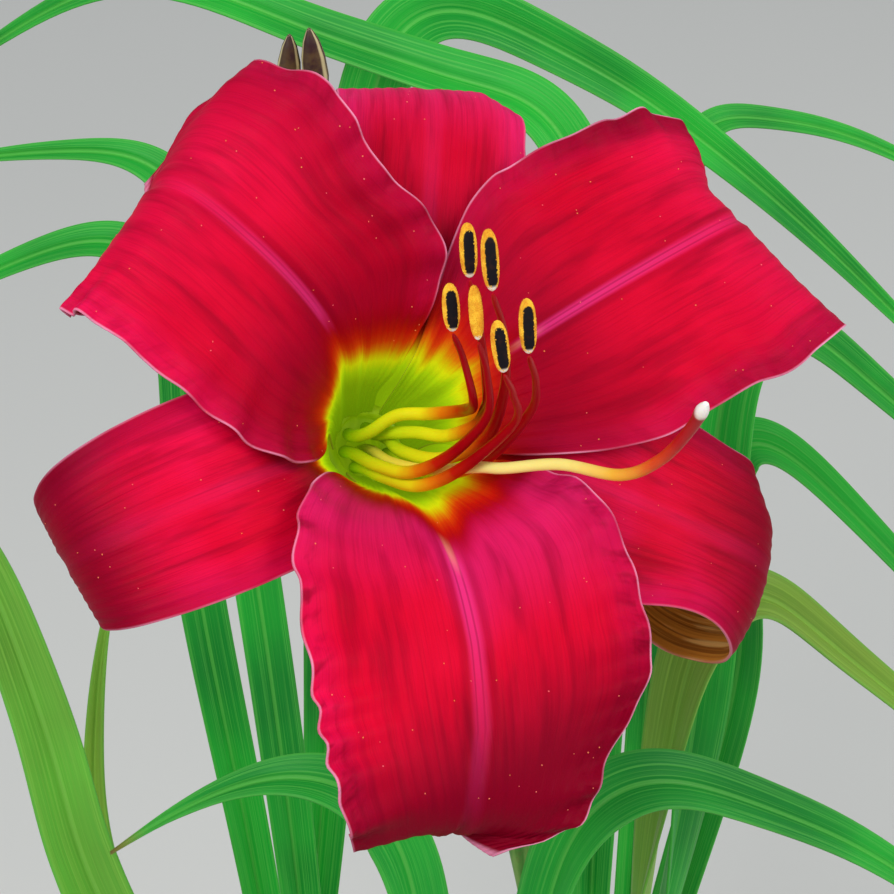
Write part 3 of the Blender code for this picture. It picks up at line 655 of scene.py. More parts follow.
def strew(
    name: str,
    carrier: bpy.types.Object,
    share: np.ndarray,
    finish: Finish,
    density: float,
    radius: float,
    seed: int,
    sink: float = 0.2,
) -> bpy.types.Object:
    """Strew grains on a finished piece.

    Args:
        name: The grains' name.
        carrier: The piece that carries them.
        share: At each of its points, from 0 for bare to 1 for full.
        finish: What the grains are made of.
        density: Grains on a square metre where it is full.
        radius: Their mean radius.
        seed: The draw's seed.
        sink: How deep they sit, as a share of the radius.

    Returns:
        The grains as one piece.
    """
    mesh = carrier.data.copy()
    carry(mesh, {"grain": share})
    piece = bpy.data.objects.new(name, mesh)
    bpy.context.scene.collection.objects.link(piece)
    return grain_tree().run(piece, finish, density=density, grain_radius=radius, sink=sink, seed=seed)


def stem(name: str, path: np.ndarray, radii: np.ndarray, finish: Finish, sides: int) -> bpy.types.Object:
    """A round stem along a path.

    Args:
        name: The stem's name.
        path: Its points.
        radii: Its radius at each of them.
        finish: What it is made of.
        sides: How many sides it gets.

    Returns:
        The stem, which carries "along", 0 at its start and 1 at its end.
    """
    layers = {"girth": radii, "along": np.linspace(0, 1, len(path))}
    return sweep_tree().run(mesh_object(name, path, [], layers), finish, sides=sides)


def rounded(radii: np.ndarray, steps: int) -> np.ndarray:
    """Draw both ends of a stem in to a soft dome.

    Args:
        radii: Its radius at each point.
        steps: Over how many points each end is drawn in.

    Returns:
        The new radii.
    """
    shaped = np.array(radii, float)
    for k in range(steps):
        ease = math.sqrt(1 - (1 - (k + 0.3) / steps) ** 2)
        shaped[k] *= ease
        shaped[-1 - k] *= ease
    return shaped


# ---------------------------------------------------------------- finishes


@dataclass(frozen=True)
class Finish:
    """A procedural material that is made once."""

    name: str

    def dress(self, g: Graph, shader: bpy.types.Node) -> None:
        """Feed the shader; each finish has its own way."""
        raise NotImplementedError

    def make(self) -> bpy.types.Material:
        """Make the material, or find it after its first use.

        Returns:
            The material.
        """
        found = bpy.data.materials.get(self.name)
        if found is not None:
            return found
        made = bpy.data.materials.new(self.name)
        made.use_nodes = True
        made.node_tree.nodes.clear()
        g = Graph(made.node_tree)
        shader = g.node("ShaderNodeBsdfPrincipled").link.node
        end = made.node_tree.nodes.new("ShaderNodeOutputMaterial")
        made.node_tree.links.new(shader.outputs[0], end.inputs["Surface"])
        self.dress(g, shader)
        return made


def feed(g: Graph, shader: bpy.types.Node, **values: Any) -> None:
    """Set or link inputs of the shader.

    Args:
        g: The tree.
        shader: The Principled node.
        values: The inputs, with _ for a space in their names.
    """
    for key, value in values.items():
        target = shader.inputs[key.replace("_", " ").title().replace("Ior", "IOR")]
        if isinstance(value, Sock):
            g.tree.links.new(value.link, target)
        else:
            target.default_value = value


def bump(g: Graph, height: Sock, strength: float, distance: float) -> Sock:
    """A bumped normal.

    Args:
        g: The tree.
        height: The relief.
        strength: How strongly it shows.
        distance: Its depth in metres at a height of 1.

    Returns:
        The normal.
    """
    return g.node("ShaderNodeBump", None, {"Strength": strength, "Distance": distance, "Height": height})


@dataclass(frozen=True)
class MarginShade:
    """How much painted shade darkens a blade's right and left margins, from 0 to 1, and from how many mm inward."""

    right: float = 0.0
    left: float = 0.0
    inward: float = 8.0


@dataclass(frozen=True)
class TepalFinish(Finish):
    """Crimson petal tissue with ribs, a pale rim and a green and gold throat.

    blush is how rosy the whole blade is, and tip how much rosier and lighter its end is, partly its own tint and
    partly painted highlight. shoulder is how magenta it is just past the throat, and deep how much darker wine it is
    there, partly its own eye zone and partly painted shade in the funnel. end_shade is how much painted shade darkens
    the end where it rolls back, from end_shade_from on as a share of the length, and slant how much earlier the left
    half darkens. margin_shade is how much painted shade darkens the margins. rib_share is how strongly the midrib's
    pale band and the painted shade of its groove show, band how broad the band is, and core how strongly its pale
    core shows.
    crimp is how wrinkled the margin is and how much painted shade lies in its folds, pale how pale the rim is, and
    glow how much painted light, emitted by the tissue itself, stands in for daylight through the thin wall of the
    throat.
    """

    flesh: tuple = rgb(204, 2, 40)
    scarlet: tuple = rgb(218, 4, 26)
    rosy: tuple = rgb(240, 20, 92)
    magenta: tuple = rgb(220, 32, 108)
    wine: tuple = rgb(122, 0, 28)
    midrib: tuple = rgb(234, 54, 134)
    pith: tuple = rgb(255, 190, 140)
    rim: tuple = rgb(250, 160, 196)
    under: tuple = rgb(186, 40, 66)
    under_vein: tuple = rgb(140, 20, 36)
    under_streak: tuple = rgb(206, 80, 96)
    tube_green: tuple = rgb(176, 176, 60)
    throat: tuple = (
        (0.0, rgb(126, 160, 10)),
        (0.24, rgb(154, 190, 12)),
        (0.44, rgb(192, 204, 12)),
        (0.56, rgb(196, 176, 8)),
        (0.68, rgb(206, 122, 8)),
        (0.8, rgb(210, 62, 8)),
        (0.91, rgb(194, 24, 10)),
        (1.0, rgb(166, 0, 18)),
    )
    blush: float = 0.25
    tip: float = 0.0
    shoulder: float = 0.0
    deep: float = 0.6
    end_shade_from: float = 0.74
    end_shade: float = 0.4
    slant: float = 0.0
    rib_share: float = 1.0
    band: float = 1.0
    core: float = 1.0
    crimp: float = 0.3
    pale: float = 1.0
    glow: float = 0.42
    margin_shade: MarginShade = MarginShade()

    def back(self, g: Graph, run: Sock, vein: Sock, stain: Sock) -> Sock:
        """The underside, greenish near the tube, with darker veins and paler streaks.

        Args:
            g: The material's tree.
            run: The distance from the tube's mouth, in mm.
            vein: The fine lengthwise noise.
            stain: The broad lengthwise noise.

        Returns:
            Its colour.
        """
        colour = g.mix(run.between(10.0, 40.0), self.tube_green, self.under)
        colour = g.mix(vein.between(0.4, 0.62) * 0.7, colour, self.under_vein)
        return g.mix(stain.between(0.52, 0.66) * 0.6, colour, self.under_streak)

    def dress(self, g: Graph, shader: bpy.types.Node) -> None:
        """Colour by the place on the blade: across it, along it, and off its edge.

        Args:
            g: The material's tree.
            shader: Its Principled node.
        """
        across, along = g.layer("across"), g.layer("along")
        rib, run, edge = g.layer("side_mm").size(), g.layer("run_mm"), g.layer("edge_mm")
        upper, wash = g.layer("upper"), g.layer("throat_mm")
        cloud = g.noise(g.place(), 60.0, 3.0)
        vein = g.noise(g.vector(across * 24.0, run * 0.022, 0.0), 1.0, 2.0, 0.5)
        fine = g.noise(g.vector(across * 85.0, run * 0.08, 3.0), 1.0, 2.0, 0.6)
        speck = g.noise(g.place(), 1800.0, 1.0)

        # the flesh: rosy margin, stains and veins; rosy end partly painted highlight; wine past throat partly painted
        # shade
        colour = g.mix(cloud.between(0.35, 0.65) * 0.7, self.flesh, self.scarlet)
        blush = edge.between(7.0, 0.3) * (0.2 + 0.5 * vein) + self.blush * cloud.between(0.3, 0.75)
        colour = g.mix(blush, colour, self.rosy)
        # a rosier, lighter end: partly the tissue's own tint, partly a painted highlight
        colour = g.mix(along.between(0.55, 0.85) * self.tip, colour, self.rosy)
        shoulder = wash.between(0.0, 5.0) * wash.between(26.0, 8.0) * self.shoulder
        colour = g.mix(shoulder * (0.55 + 0.6 * cloud), colour, self.magenta)
        # darker wine past the throat: partly the tissue's own eye zone, partly painted shade in the funnel
        deep = wash.between(-1.0, 4.0) * wash.between(28.0, 8.0) * self.deep
        colour = g.mix(deep * (0.5 + 0.7 * cloud), colour, self.wine)
        stain = g.noise(g.vector(across * 8.0, run * 0.055, 5.0), 1.0, 3.0)
        colour = g.mix(stain.between(0.45, 0.72) * 0.4, colour, self.wine)
        # painted shade along the margins, where they curl under and fall into shadow
        sides = across.between(-0.2, 0.2) * (self.margin_shade.left - self.margin_shade.right) + self.margin_shade.right
        margin_shade = edge.between(self.margin_shade.inward, 0.5) * along.between(0.35, 0.6) * sides
        colour = g.mix(margin_shade * (0.5 + 0.8 * cloud), colour, self.wine)
        colour = g.mix(vein.between(0.5, 0.68) * 0.14, colour, self.wine)
        colour = g.mix(fine.between(0.48, 0.7) * 0.16, colour, self.wine)
        # painted shade on the end, where it rolls back and faces down
        end_shade_run = along + vein * 0.06 + across * self.slant
        colour = g.mix(end_shade_run.between(self.end_shade_from, self.end_shade_from + 0.22) * self.end_shade, colour, self.wine)

        # the midrib: painted shade of its groove beside it, a pale band between two seams, and its core near the
        # throat
        breadth = (along * 0.9 + 0.5) * self.band
        shade = (rib - breadth * 2.3).size().between(1.1, 0.2) * wash.between(2.0, 12.0) * along.between(0.95, 0.7)
        colour = g.mix(shade * 0.4 * self.rib_share, colour, self.wine)
        band = (rib / breadth).between(2.0, 0.5) * wash.between(-2.0, 6.0) * along.between(0.95, 0.4)
        colour = g.mix(band * (0.65 + 0.3 * vein) * self.rib_share, colour, self.midrib)
        seam = (rib - breadth * 0.6).size().between(0.22, 0.04) * wash.between(4.0, 12.0) * along.between(0.9, 0.6)
        colour = g.mix(seam * 0.5 * self.rib_share, colour, self.wine)
        pith = rib.between(0.7, 0.15) * wash.between(-3.0, 0.0) * wash.between(11.0, 2.0) * self.core
        colour = g.mix(pith * 0.8, colour, self.pith)

        # the margin: crimps, with painted shade in their folds, and a thin pale rim that comes and goes
        side = across.between(-0.1, 0.1) * 5.0
        fold = g.noise(g.vector(along * 46.0 + edge * 0.25, side, edge * 0.3), 1.0, 2.0)
        crimp = fold.between(0.44, 0.72) * edge.between(5.5, 0.3) * along.between(0.3, 0.45) * self.crimp
        colour = g.mix(crimp, colour, self.wine)
        patch = g.noise(g.vector(along * 9.0, side, 11.0), 1.0, 1.0).between(0.35, 0.6)
        rim = edge.between(0.4, 0.08) * (0.15 + (0.25 + 0.9 * fine) * patch) * wash.between(-4.0, 6.0) * self.pale
        colour = g.mix(rim, colour, self.rim)

        # the throat with its fringe, the underside, and a painted glow, emitted in the tissue's own colour, for
        # daylight through its wall
        flame = g.noise(g.vector(across * 3.0, 0.0, 7.0), 1.0, 1.0)
        warm = wash + (flame - 0.5) * 9.0 + (vein - 0.5) * 2.5 + (fine - 0.5) * 1.5
        colour = g.mix(warm.between(9.0, 2.0), colour, g.ramp(warm.between(-15.0, 5.0), self.throat))
        colour = g.mix(upper, g.mix(rim * 0.8, self.back(g, run, vein, stain), self.rim), colour)
        lit = warm.between(1.0, -7.0) * upper * self.glow

        height = vein * 0.7 + fine * 0.3 + speck * 0.2 - crimp * 2.0
        feed(
            g,
            shader,
            base_color=colour,
            roughness=0.42 + 0.2 * cloud,
            normal=bump(g, height, 0.45, 0.35 * MM),
            subsurface_weight=0.1,
            subsurface_radius=(1.0, 0.25, 0.15),
            subsurface_scale=1.5 * MM,
            specular_ior_level=0.04,
            emission_color=g.mix(lit, BLACK, colour),
            emission_strength=1.0,
        )


@dataclass(frozen=True)
class ThreadFinish(Finish):
    """A thread of the bloom whose colour changes from its foot to its tip."""

    stops: tuple
    shine: tuple = rgb(255, 236, 120)

    def dress(self, g: Graph, shader: bpy.types.Node) -> None:
        """Colour along the thread, with faint lengthwise streaks.

        Args:
            g: The material's tree.
            shader: Its Principled node.
        """
        along = g.layer("along")
        streak = g.noise(g.place(), 420.0, 2.0)
        colour = g.ramp(along + (streak - 0.5) * 0.03, self.stops)
        colour = g.mix(streak.between(0.5, 0.75) * 0.08, colour, self.shine, "SOFT_LIGHT")
        feed(
            g,
            shader,
            base_color=colour,
            roughness=0.3 + 0.1 * streak,
            normal=bump(g, streak, 0.25, 0.2 * MM),
            subsurface_weight=0.15,
            subsurface_radius=(1.0, 0.4, 0.1),
            subsurface_scale=1.0 * MM,
            specular_ior_level=0.2,
        )


@dataclass(frozen=True)
class SacFinish(Finish):
    """The dark pollen sac of an anther, with a pale tip at its foot."""

    dark: tuple = rgb(12, 6, 14)
    brown: tuple = rgb(44, 20, 16)
    gold: tuple = rgb(240, 180, 40)
    foot: tuple = rgb(244, 232, 214)

    def dress(self, g: Graph, shader: bpy.types.Node) -> None:
        """Dark back, golden flanks and a pale foot.

        Args:
            g: The material's tree.
            shader: Its Principled node.
        """
        rough = g.noise(g.place(), 900.0, 3.0)
        flank = (g.layer("flank") + (rough - 0.5) * 0.3).between(0.66, 0.84)
        colour = g.mix(rough.between(0.5, 0.8), self.dark, self.brown)
        colour = g.mix(flank, colour, self.gold)
        colour = g.mix(g.layer("along").between(0.1, 0.02), colour, self.foot)
        feed(g, shader, base_color=colour, roughness=0.55 + 0.2 * rough, specular_ior_level=0.2)
        feed(g, shader, normal=bump(g, rough, 0.5, 0.2 * MM))


@dataclass(frozen=True)
class GrainFinish(Finish):
    """Powdery or crumbly grains in two mixed colours."""

    light: tuple
    dark: tuple
    scale: float = 700.0

    def dress(self, g: Graph, shader: bpy.types.Node) -> None:
        """Colour from grain to grain.

        Args:
            g: The material's tree.
            shader: Its Principled node.
        """
        rough = g.noise(g.place(), self.scale, 2.0)
        colour = g.mix(rough.between(0.35, 0.65), self.dark, self.light)
        feed(g, shader, base_color=colour, roughness=0.75 + 0.15 * rough, normal=bump(g, rough, 0.3, 0.2 * MM))


@dataclass(frozen=True)
class LeafFinish(Finish):
    """Strap leaf: fresh green with fine parallel veins, paler at the foot and along the keel."""

    fresh: tuple = rgb(34, 184, 54)
    dark: tuple = rgb(14, 130, 42)
    light: tuple = rgb(112, 208, 88)
    straw: tuple = rgb(206, 206, 70)
    foot: tuple = rgb(206, 212, 150)
    dry_tip: tuple = rgb(150, 110, 60)

    def dress(self, g: Graph, shader: bpy.types.Node) -> None:
        """Colour across and along the leaf.

        Args:
            g: The material's tree.
            shader: Its Principled node.
        """
        across, side, run = g.layer("across"), g.layer("side_mm"), g.layer("run_mm")
        age, edge, share = g.layer("age"), g.layer("edge_mm"), g.layer("along")
        cloud = g.noise(g.place(), 18.0, 3.0)
        veins = g.noise(g.vector(across * 16.0, run * 0.012, 0.0), 1.0, 2.0, 0.7)
        fine = g.noise(g.vector(across * 44.0, run * 0.05, 5.0), 1.0, 1.0)
        colour = g.mix(cloud.between(0.3, 0.7), self.dark, self.fresh)
        colour = g.mix(veins.between(0.45, 0.7) * 0.4, colour, self.light)
        colour = g.mix(fine.between(0.5, 0.7) * 0.3, colour, self.dark)
        colour = g.mix(side.size().between(0.9, 0.1) * 0.45, colour, self.light)
        colour = g.mix(age * (0.35 + 0.5 * veins), colour, self.straw)
        colour = g.mix(edge.between(0.8, 0.1) * 0.25, colour, self.light)
        colour = g.mix(run.between(70.0, 8.0) * 0.8, colour, self.foot)
        colour = g.mix(share.between(0.975, 1.0) * 0.8, colour, self.dry_tip)
        feed(
            g,
            shader,
            base_color=colour,
            roughness=0.4 + 0.18 * cloud,
            normal=bump(g, veins * 0.7 + fine * 0.3, 0.45, 0.3 * MM),
            subsurface_weight=0.08,
            subsurface_radius=(0.3, 1.0, 0.2),
            subsurface_scale=1.2 * MM,
            specular_ior_level=0.25,
        )


@dataclass(frozen=True)
class StemFinish(Finish):
    """Smooth green stem with faint lengthwise streaks; glow is how much painted light, emitted in its own colour,
    stands in for daylight through it.
    """

    green: tuple = rgb(72, 134, 44)
    pale: tuple = rgb(132, 172, 84)
    tint: tuple = rgb(120, 84, 50)
    glow: float = 0.0

    def dress(self, g: Graph, shader: bpy.types.Node) -> None:
        """Streaks that run up the stem, and tinted flecks.

        Args:
            g: The material's tree.
            shader: Its Principled node.
        """
        stretch = g.node("ShaderNodeMapping", None, {"Vector": g.place(), "Scale": (1.0, 1.0, 0.06)})
        streak = g.noise(stretch, 600.0, 2.0)
        fleck = g.noise(g.place(), 240.0, 3.0)
        colour = g.mix(streak.between(0.35, 0.7), self.green, self.pale)
        colour = g.mix(fleck.between(0.62, 0.75) * 0.5, colour, self.tint)
        feed(g, shader, base_color=colour, roughness=0.42 + 0.15 * fleck, normal=bump(g, streak, 0.3, 0.3 * MM))
        # painted light: the tissue glows in its own colour
        feed(g, shader, emission_color=g.mix(self.glow, BLACK, colour), emission_strength=1.0)


@dataclass(frozen=True)
class BudFinish(Finish):
    """Brown-green bud with pale seams and tip."""

    green: tuple = rgb(84, 62, 28)
    brown: tuple = rgb(50, 18, 20)
    cream: tuple = rgb(216, 204, 150)

    def dress(self, g: Graph, shader: bpy.types.Node) -> None:
        """Seams between the folded tepals, and mottling.

        Args:
            g: The material's tree.
            shader: Its Principled node.
        """
        turn, along = g.layer("turn"), g.layer("along")
        mottle = g.noise(g.place(), 500.0, 3.0)
        seam = ((turn + math.pi / 6) * 1.5).wave().size().between(0.42, 0.1)
        colour = g.mix(mottle.between(0.4, 0.65), self.green, self.brown)
        colour = g.mix(along.between(0.55, 1.0) * 0.6, colour, self.brown)
        colour = g.mix(seam * 0.8, colour, self.cream)
        feed(g, shader, base_color=colour, roughness=0.5 + 0.2 * mottle, normal=bump(g, mottle, 0.4, 0.3 * MM))


@dataclass(frozen=True)
class SoilFinish(Finish):
    """Dark moist potting soil."""

    moist: tuple = rgb(34, 24, 18)
    fibre: tuple = rgb(84, 62, 44)
    shade: tuple = rgb(46, 34, 26)

    def dress(self, g: Graph, shader: bpy.types.Node) -> None:
        """Dark brown crumbs with paler fibre.

        Args:
            g: The material's tree.
            shader: Its Principled node.
        """
        crumb = g.noise(g.place(), 260.0, 5.0, 0.65)
        broad = g.noise(g.place(), 40.0, 3.0)
        colour = g.mix(crumb.between(0.35, 0.7), self.moist, self.fibre)
        colour = g.mix(broad.between(0.4, 0.7) * 0.5, colour, self.shade)
        feed(g, shader, base_color=colour, roughness=0.85 + 0.1 * crumb, normal=bump(g, crumb, 0.9, 1.5 * MM))


@dataclass(frozen=True)
class ClayFinish(Finish):
    """Unglazed terracotta with turning lines and pale mineral bloom."""

    clay: tuple = rgb(186, 104, 68)
    dark: tuple = rgb(150, 76, 48)
    bloom: tuple = rgb(222, 190, 168)

    def dress(self, g: Graph, shader: bpy.types.Node) -> None:
        """Rings by height, clouds of mineral bloom, and a fine grain.

        Args:
            g: The material's tree.
            shader: Its Principled node.
        """
        place = g.place()
        height = g.node("ShaderNodeSeparateXYZ", None, {0: place}, 2)
        rings = g.noise(g.vector(0.0, 0.0, height * 900.0), 1.0, 2.0)
        cloud = g.noise(place, 26.0, 4.0, 0.6)
        grain = g.noise(place, 1400.0, 2.0)
        colour = g.mix(cloud.between(0.3, 0.7), self.dark, self.clay)
        colour = g.mix(rings.between(0.5, 0.75) * 0.25, colour, self.dark)
        low = height.between(0.05, 0.0) * 0.35 + 0.25
        colour = g.mix(cloud.between(0.52, 0.72) * low, colour, self.bloom)
        colour = g.mix(grain.between(0.6, 0.75) * 0.3, colour, self.dark)
        relief = bump(g, rings * 0.6 + grain * 0.4, 0.5, 0.6 * MM)
        feed(g, shader, base_color=colour, roughness=0.78 + 0.15 * cloud, normal=relief)


@dataclass(frozen=True)
class CrownFinish(Finish):
    """Pale fibrous plant base."""

    cream: tuple = rgb(208, 200, 150)
    brown: tuple = rgb(124, 96, 58)

    def dress(self, g: Graph, shader: bpy.types.Node) -> None:
        """Cream with brown fibres that run up it.

        Args:
            g: The material's tree.
            shader: Its Principled node.
        """
        fibre = g.noise(g.vector(g.layer("turn") * 9.0, g.layer("along") * 1.5, 0.0), 1.0, 3.0, 0.7)
        colour = g.mix(fibre.between(0.4, 0.65), self.cream, self.brown)
        feed(g, shader, base_color=colour, roughness=0.65 + 0.2 * fibre, normal=bump(g, fibre, 0.6, 0.6 * MM))


@dataclass(frozen=True)
class StageFinish(Finish):
    """Plain pale paper-like ground."""

    pale: tuple = rgb(226, 226, 222)
    grey: tuple = rgb(206, 206, 202)

    def dress(self, g: Graph, shader: bpy.types.Node) -> None:
        """One pale colour with a trace of unevenness.

        Args:
            g: The material's tree.
            shader: Its Principled node.
        """
        cloud = g.noise(g.place(), 3.0, 2.0)
        colour = g.mix(cloud.between(0.3, 0.7) * 0.06, self.pale, self.grey)
        feed(g, shader, base_color=colour, roughness=0.8)


# ---------------------------------------------------------------- bloom

BLOOM_AXIS = (0.26, -0.688, 0.677)
THROAT = (-12.5 * MM, -50.4 * MM, 483 * MM)  # middle of the perianth tube's mouth
PETAL_RING = 5.6 * MM
SEPAL_RING = 6.9 * MM
TEPAL_GAP = 0.6 * MM


def from_bloom(points: Any) -> np.ndarray:
    """Points of the bloom's own frame, in millimetres, placed in the row frame."""
    return np.asarray(THROAT) + np.asarray(points, float) * MM @ np.stack(axes_along(BLOOM_AXIS))


@dataclass(frozen=True)
class Tepal:
    """One petal, or sepal, in the bloom's own frame; arc lengths run from the tube's mouth.

    share is the range of bearings that it stays in, and turn its midrib's bearing, in degrees from the bloom's right.
    The blade leans throat degrees off the axis, opens to spread by open_to, and rolls back by roll more degrees
    between roll_from and roll_to; full_to is the share of the length up to which it keeps its width.
    gold holds how far the throat's gold runs, in mm: on its right half, on the midrib and on its left half.
    Each lobe is a place where the margin stands out or draws in: its run in mm, its side (-1 right, 1 left), by how
    much and over what breadth, in mm. late holds places across and how much later the blade rolls there, in mm.
    rib holds runs and how far the midrib lies off the middle there, in mm.
    """

    name: str
    share: tuple[float, float]
    turn: float
    length: float
    half_width: float
    full_to: float
    spread: float
    open_to: float
    roll: float
    roll_from: float
    roll_to: float
    skew: float = 0.0
    sweep: float = 0.0
    twist: float = 0.0
    cup: float = 0.0
    end_cup: float = 0.0
    gold: tuple[float, float, float] = (22.0, 25.0, 22.0)
    ring: float = PETAL_RING
    throat: float = 18.0
    open_from: float = 14 * MM
    slot: Slot = Slot.PETAL
    lobes: tuple[tuple[float, int, float, float], ...] = ()
    late: tuple[tuple[float, ...], tuple[float, ...]] = ((0.0,), (0.0,))
    rib: tuple[tuple[float, ...], tuple[float, ...]] = ((0.0,), (0.0,))
    tissue: Finish = TepalFinish("petal_tissue")
    ruffle: float = 0.9 * MM
    frill: float = 0.8 * MM
    buckle: float = 1.1 * MM
    groove: float = 0.55 * MM
    waves: float = 8.0
    seed: float = 1.0
    rows: int = 150
    columns: int = 73
    foot_angle: float = 56.0
    least_width: float = 1.2 * MM
    dust_density: float = 15000.0
    dust_radius: float = 0.12 * MM

    def width(self, run: np.ndarray, across: np.ndarray) -> np.ndarray:
        """Half the blade's width, with its lobes on their own sides.

        Args:
            run: Arc lengths down the rows.
            across: Places over the columns, from -1 to 1.

        Returns:
            The half width at each point.
        """
        share = run / self.length
        foot = self.ring * math.radians(self.foot_angle)
        body = foot + (self.half_width - foot) * smooth(share, 0.05, 0.45)
        late = np.clip((share - self.full_to) / (1.003 - self.full_to), 0, 1)
        width = np.maximum(body * np.sqrt(np.clip(1 - late**2.2, 0, 1)), self.least_width)
        for place, edge, size, breadth in self.lobes:
            near = np.exp(-(((run / MM - place) / breadth) ** 2))
            width = width + size * MM * near * smooth(across * edge, 0.0, 0.6)
        return np.maximum(width, self.least_width)

    def lean(self, run: np.ndarray, across: np.ndarray) -> tuple[np.ndarray, np.ndarray]:
        """How far the blade leans off the bloom's axis.

        Args:
            run: Arc lengths down the rows.
            across: Places over the columns, from -1 to 1.

        Returns:
            The lean in radians, and the share by which the end has rolled back.
        """
        late = np.interp(across, *self.late) * MM
        rolled = smooth(run - self.skew * across - late, self.roll_from, self.roll_to)
        opened = smooth(run, self.open_from, self.open_to)
        return np.radians(self.throat + (self.spread - self.throat) * opened + self.roll * rolled), rolled

    def room(self, out: np.ndarray, across: np.ndarray, flatter: np.ndarray) -> np.ndarray:
        """How wide the blade may be before it meets its neighbours.

        Args:
            out: The distance from the bloom's axis at each point.
            across: Places over the columns, from -1 to 1.
            flatter: How far the blade has turned from the tube's round to flat, from 0 to 1.

        Returns:
            The widest half width at each point.
        """
        right, left = math.radians(self.turn - self.share[0]), math.radians(self.share[1] - self.turn)
        share = np.where(across < 0, right, left)
        return out * (share + (np.tan(np.minimum(share, 1.3)) - share) * flatter) - TEPAL_GAP

    def grid(self) -> tuple[np.ndarray, dict[str, np.ndarray]]:
        """The blade's surface.

        Returns:
            Rows of points from the tube's mouth to the tip, and what each point carries.
        """
        run = np.linspace(0, self.length, self.rows)[:, None]
        limit = math.radians(77)  # crowds the columns towards the margins
        across = (np.sin(np.linspace(-1, 1, self.columns) * limit) / math.sin(limit))[None, :]
        tilt, rolled = self.lean(run, across)
        step = self.length / (self.rows - 1)
        middle = (tilt[:-1] + tilt[1:]) / 2
        nothing = np.zeros((1, self.columns))
        out = self.ring + np.vstack([nothing, np.cumsum(np.sin(middle) * step, axis=0)])
        rise = SEAT_GAP + np.vstack([nothing, np.cumsum(np.cos(middle) * step, axis=0)])

        flatter = smooth(run, 0.6 * self.open_from + 6 * MM, self.open_to + 8 * MM)
        width = soft_least(self.width(run, across), self.room(out, across, flatter))
        side = across * width
        curve = self.cup + (self.end_cup - self.cup) * rolled + 1e-6  # never quite flat
        lift = (1 - np.cos(curve * side)) / curve
        reach = np.sin(curve * side) / curve
        twist = np.radians(self.twist) * smooth(run, self.open_from, self.length)
        reach, lift = reach * np.cos(twist) - lift * np.sin(twist), reach * np.sin(twist) + lift * np.cos(twist)
        flat = np.stack([out - lift * np.cos(tilt), reach, rise + lift * np.sin(tilt)], axis=2)
        angle = side / out
        round_throat = np.stack([out * np.cos(angle), out * np.sin(angle), rise], axis=2)
        grid = round_throat * (1 - flatter)[:, :, None] + flat * flatter[:, :, None]
        opened = np.clip((run - self.open_from) / (self.length - self.open_from), 0, 1)
        grid[:, :, 1] += self.sweep * opened**2

        turn = math.radians(self.turn)
        spin = np.array([[math.cos(turn), math.sin(turn), 0], [-math.sin(turn), math.cos(turn), 0], [0, 0, 1]])
        right, rib, left = self.gold
        off = smooth(np.abs(side), 0.0, 5 * MM)
        gold = rib + (np.where(side < 0, right, left) - rib) * off
        edge = np.minimum((1 - np.abs(across)) * width, self.length - run)
        layers = {
            "across": across + 0 * run,
            "along": run / self.length + 0 * across,
            "side_mm": side / MM - np.interp(run / MM, *self.rib),
            "run_mm": run / MM + 0 * across,
            "edge_mm": edge / MM,
            "throat_mm": run / MM - gold,
        }
        return np.asarray(THROAT) + (grid @ spin) @ np.stack(axes_along(BLOOM_AXIS)), layers

    def build(self, dust: Finish) -> None:
        """Build the blade and the stray pollen on it.

        Args:
            dust: What the pollen is made of.
        """
        grid, layers = self.grid()
        thickness = (0.4 + 0.5 * (1 - np.abs(layers["across"])) ** 0.5) * MM
        thickness = thickness * smooth(self.length - layers["run_mm"] * MM, -1 * MM, 4 * MM)
        blade = sheet_object(f"{self.name}_blade", grid, np.maximum(thickness, 0.3 * MM), layers)
        relief_tree().run(
            blade,
            self.tissue,
            groove_depth=self.groove,
            groove_width=1.5,
            rib_depth=0.06 * MM,
            rib_count=15.0,
            ruffle_depth=self.ruffle,
            ruffle_waves=self.waves,
            frill_depth=self.frill,
            buckle_depth=self.buckle,
            seed=self.seed,
        )
        seat(blade, self.slot, self.name)
        bare_foot = 0.25
        face = layers["along"].ravel() > bare_foot
        share = np.concatenate([face, np.zeros(face.size)])
        seed = int(self.seed * 10)
        specks = strew(f"{self.name}_dust", blade, share, dust, self.dust_density, self.dust_radius, seed, 0.3)
        seat(specks, Slot.ANTHER)


SEPAL_TISSUE = TepalFinish(
    "sepal_tissue",
    flesh=rgb(222, 3, 46),
    scarlet=rgb(230, 6, 34),
    under=rgb(192, 124, 44),
    under_vein=rgb(104, 52, 14),
    under_streak=rgb(240, 196, 120),
    blush=0.8,
    deep=0.2,
    # the dark ends and margins of the sepals are painted shade
    end_shade_from=0.575,
    end_shade=0.88,
    rib_share=0.15,
    core=0.0,
    crimp=0.05,
    pale=0.5,
    # the sepals glow more, as painted light in the throat's shaded gaps where they show
    glow=0.8,
    margin_shade=MarginShade(left=0.5, inward=6.0),
)
ROSY_TISSUE = replace(
    SEPAL_TISSUE,
    name="rosy_sepal_tissue",
    flesh=rgb(204, 2, 40),
    scarlet=rgb(214, 4, 32),
    rosy=rgb(244, 40, 122),
    blush=0.15,
    # the rosy end is partly a painted highlight
    tip=1.0,
    deep=0.9,
    end_shade=0.0,
    margin_shade=MarginShade(),
)
# sepal_left's tissue: less rosy, with painted shade on its end and on both margins
SHADED_SEPAL_TISSUE = replace(
    SEPAL_TISSUE,
    name="dusky_sepal_tissue",
    blush=0.6,
    end_shade_from=0.6,
    end_shade=0.85,
    margin_shade=MarginShade(right=0.65, left=0.4, inward=6.0),
)


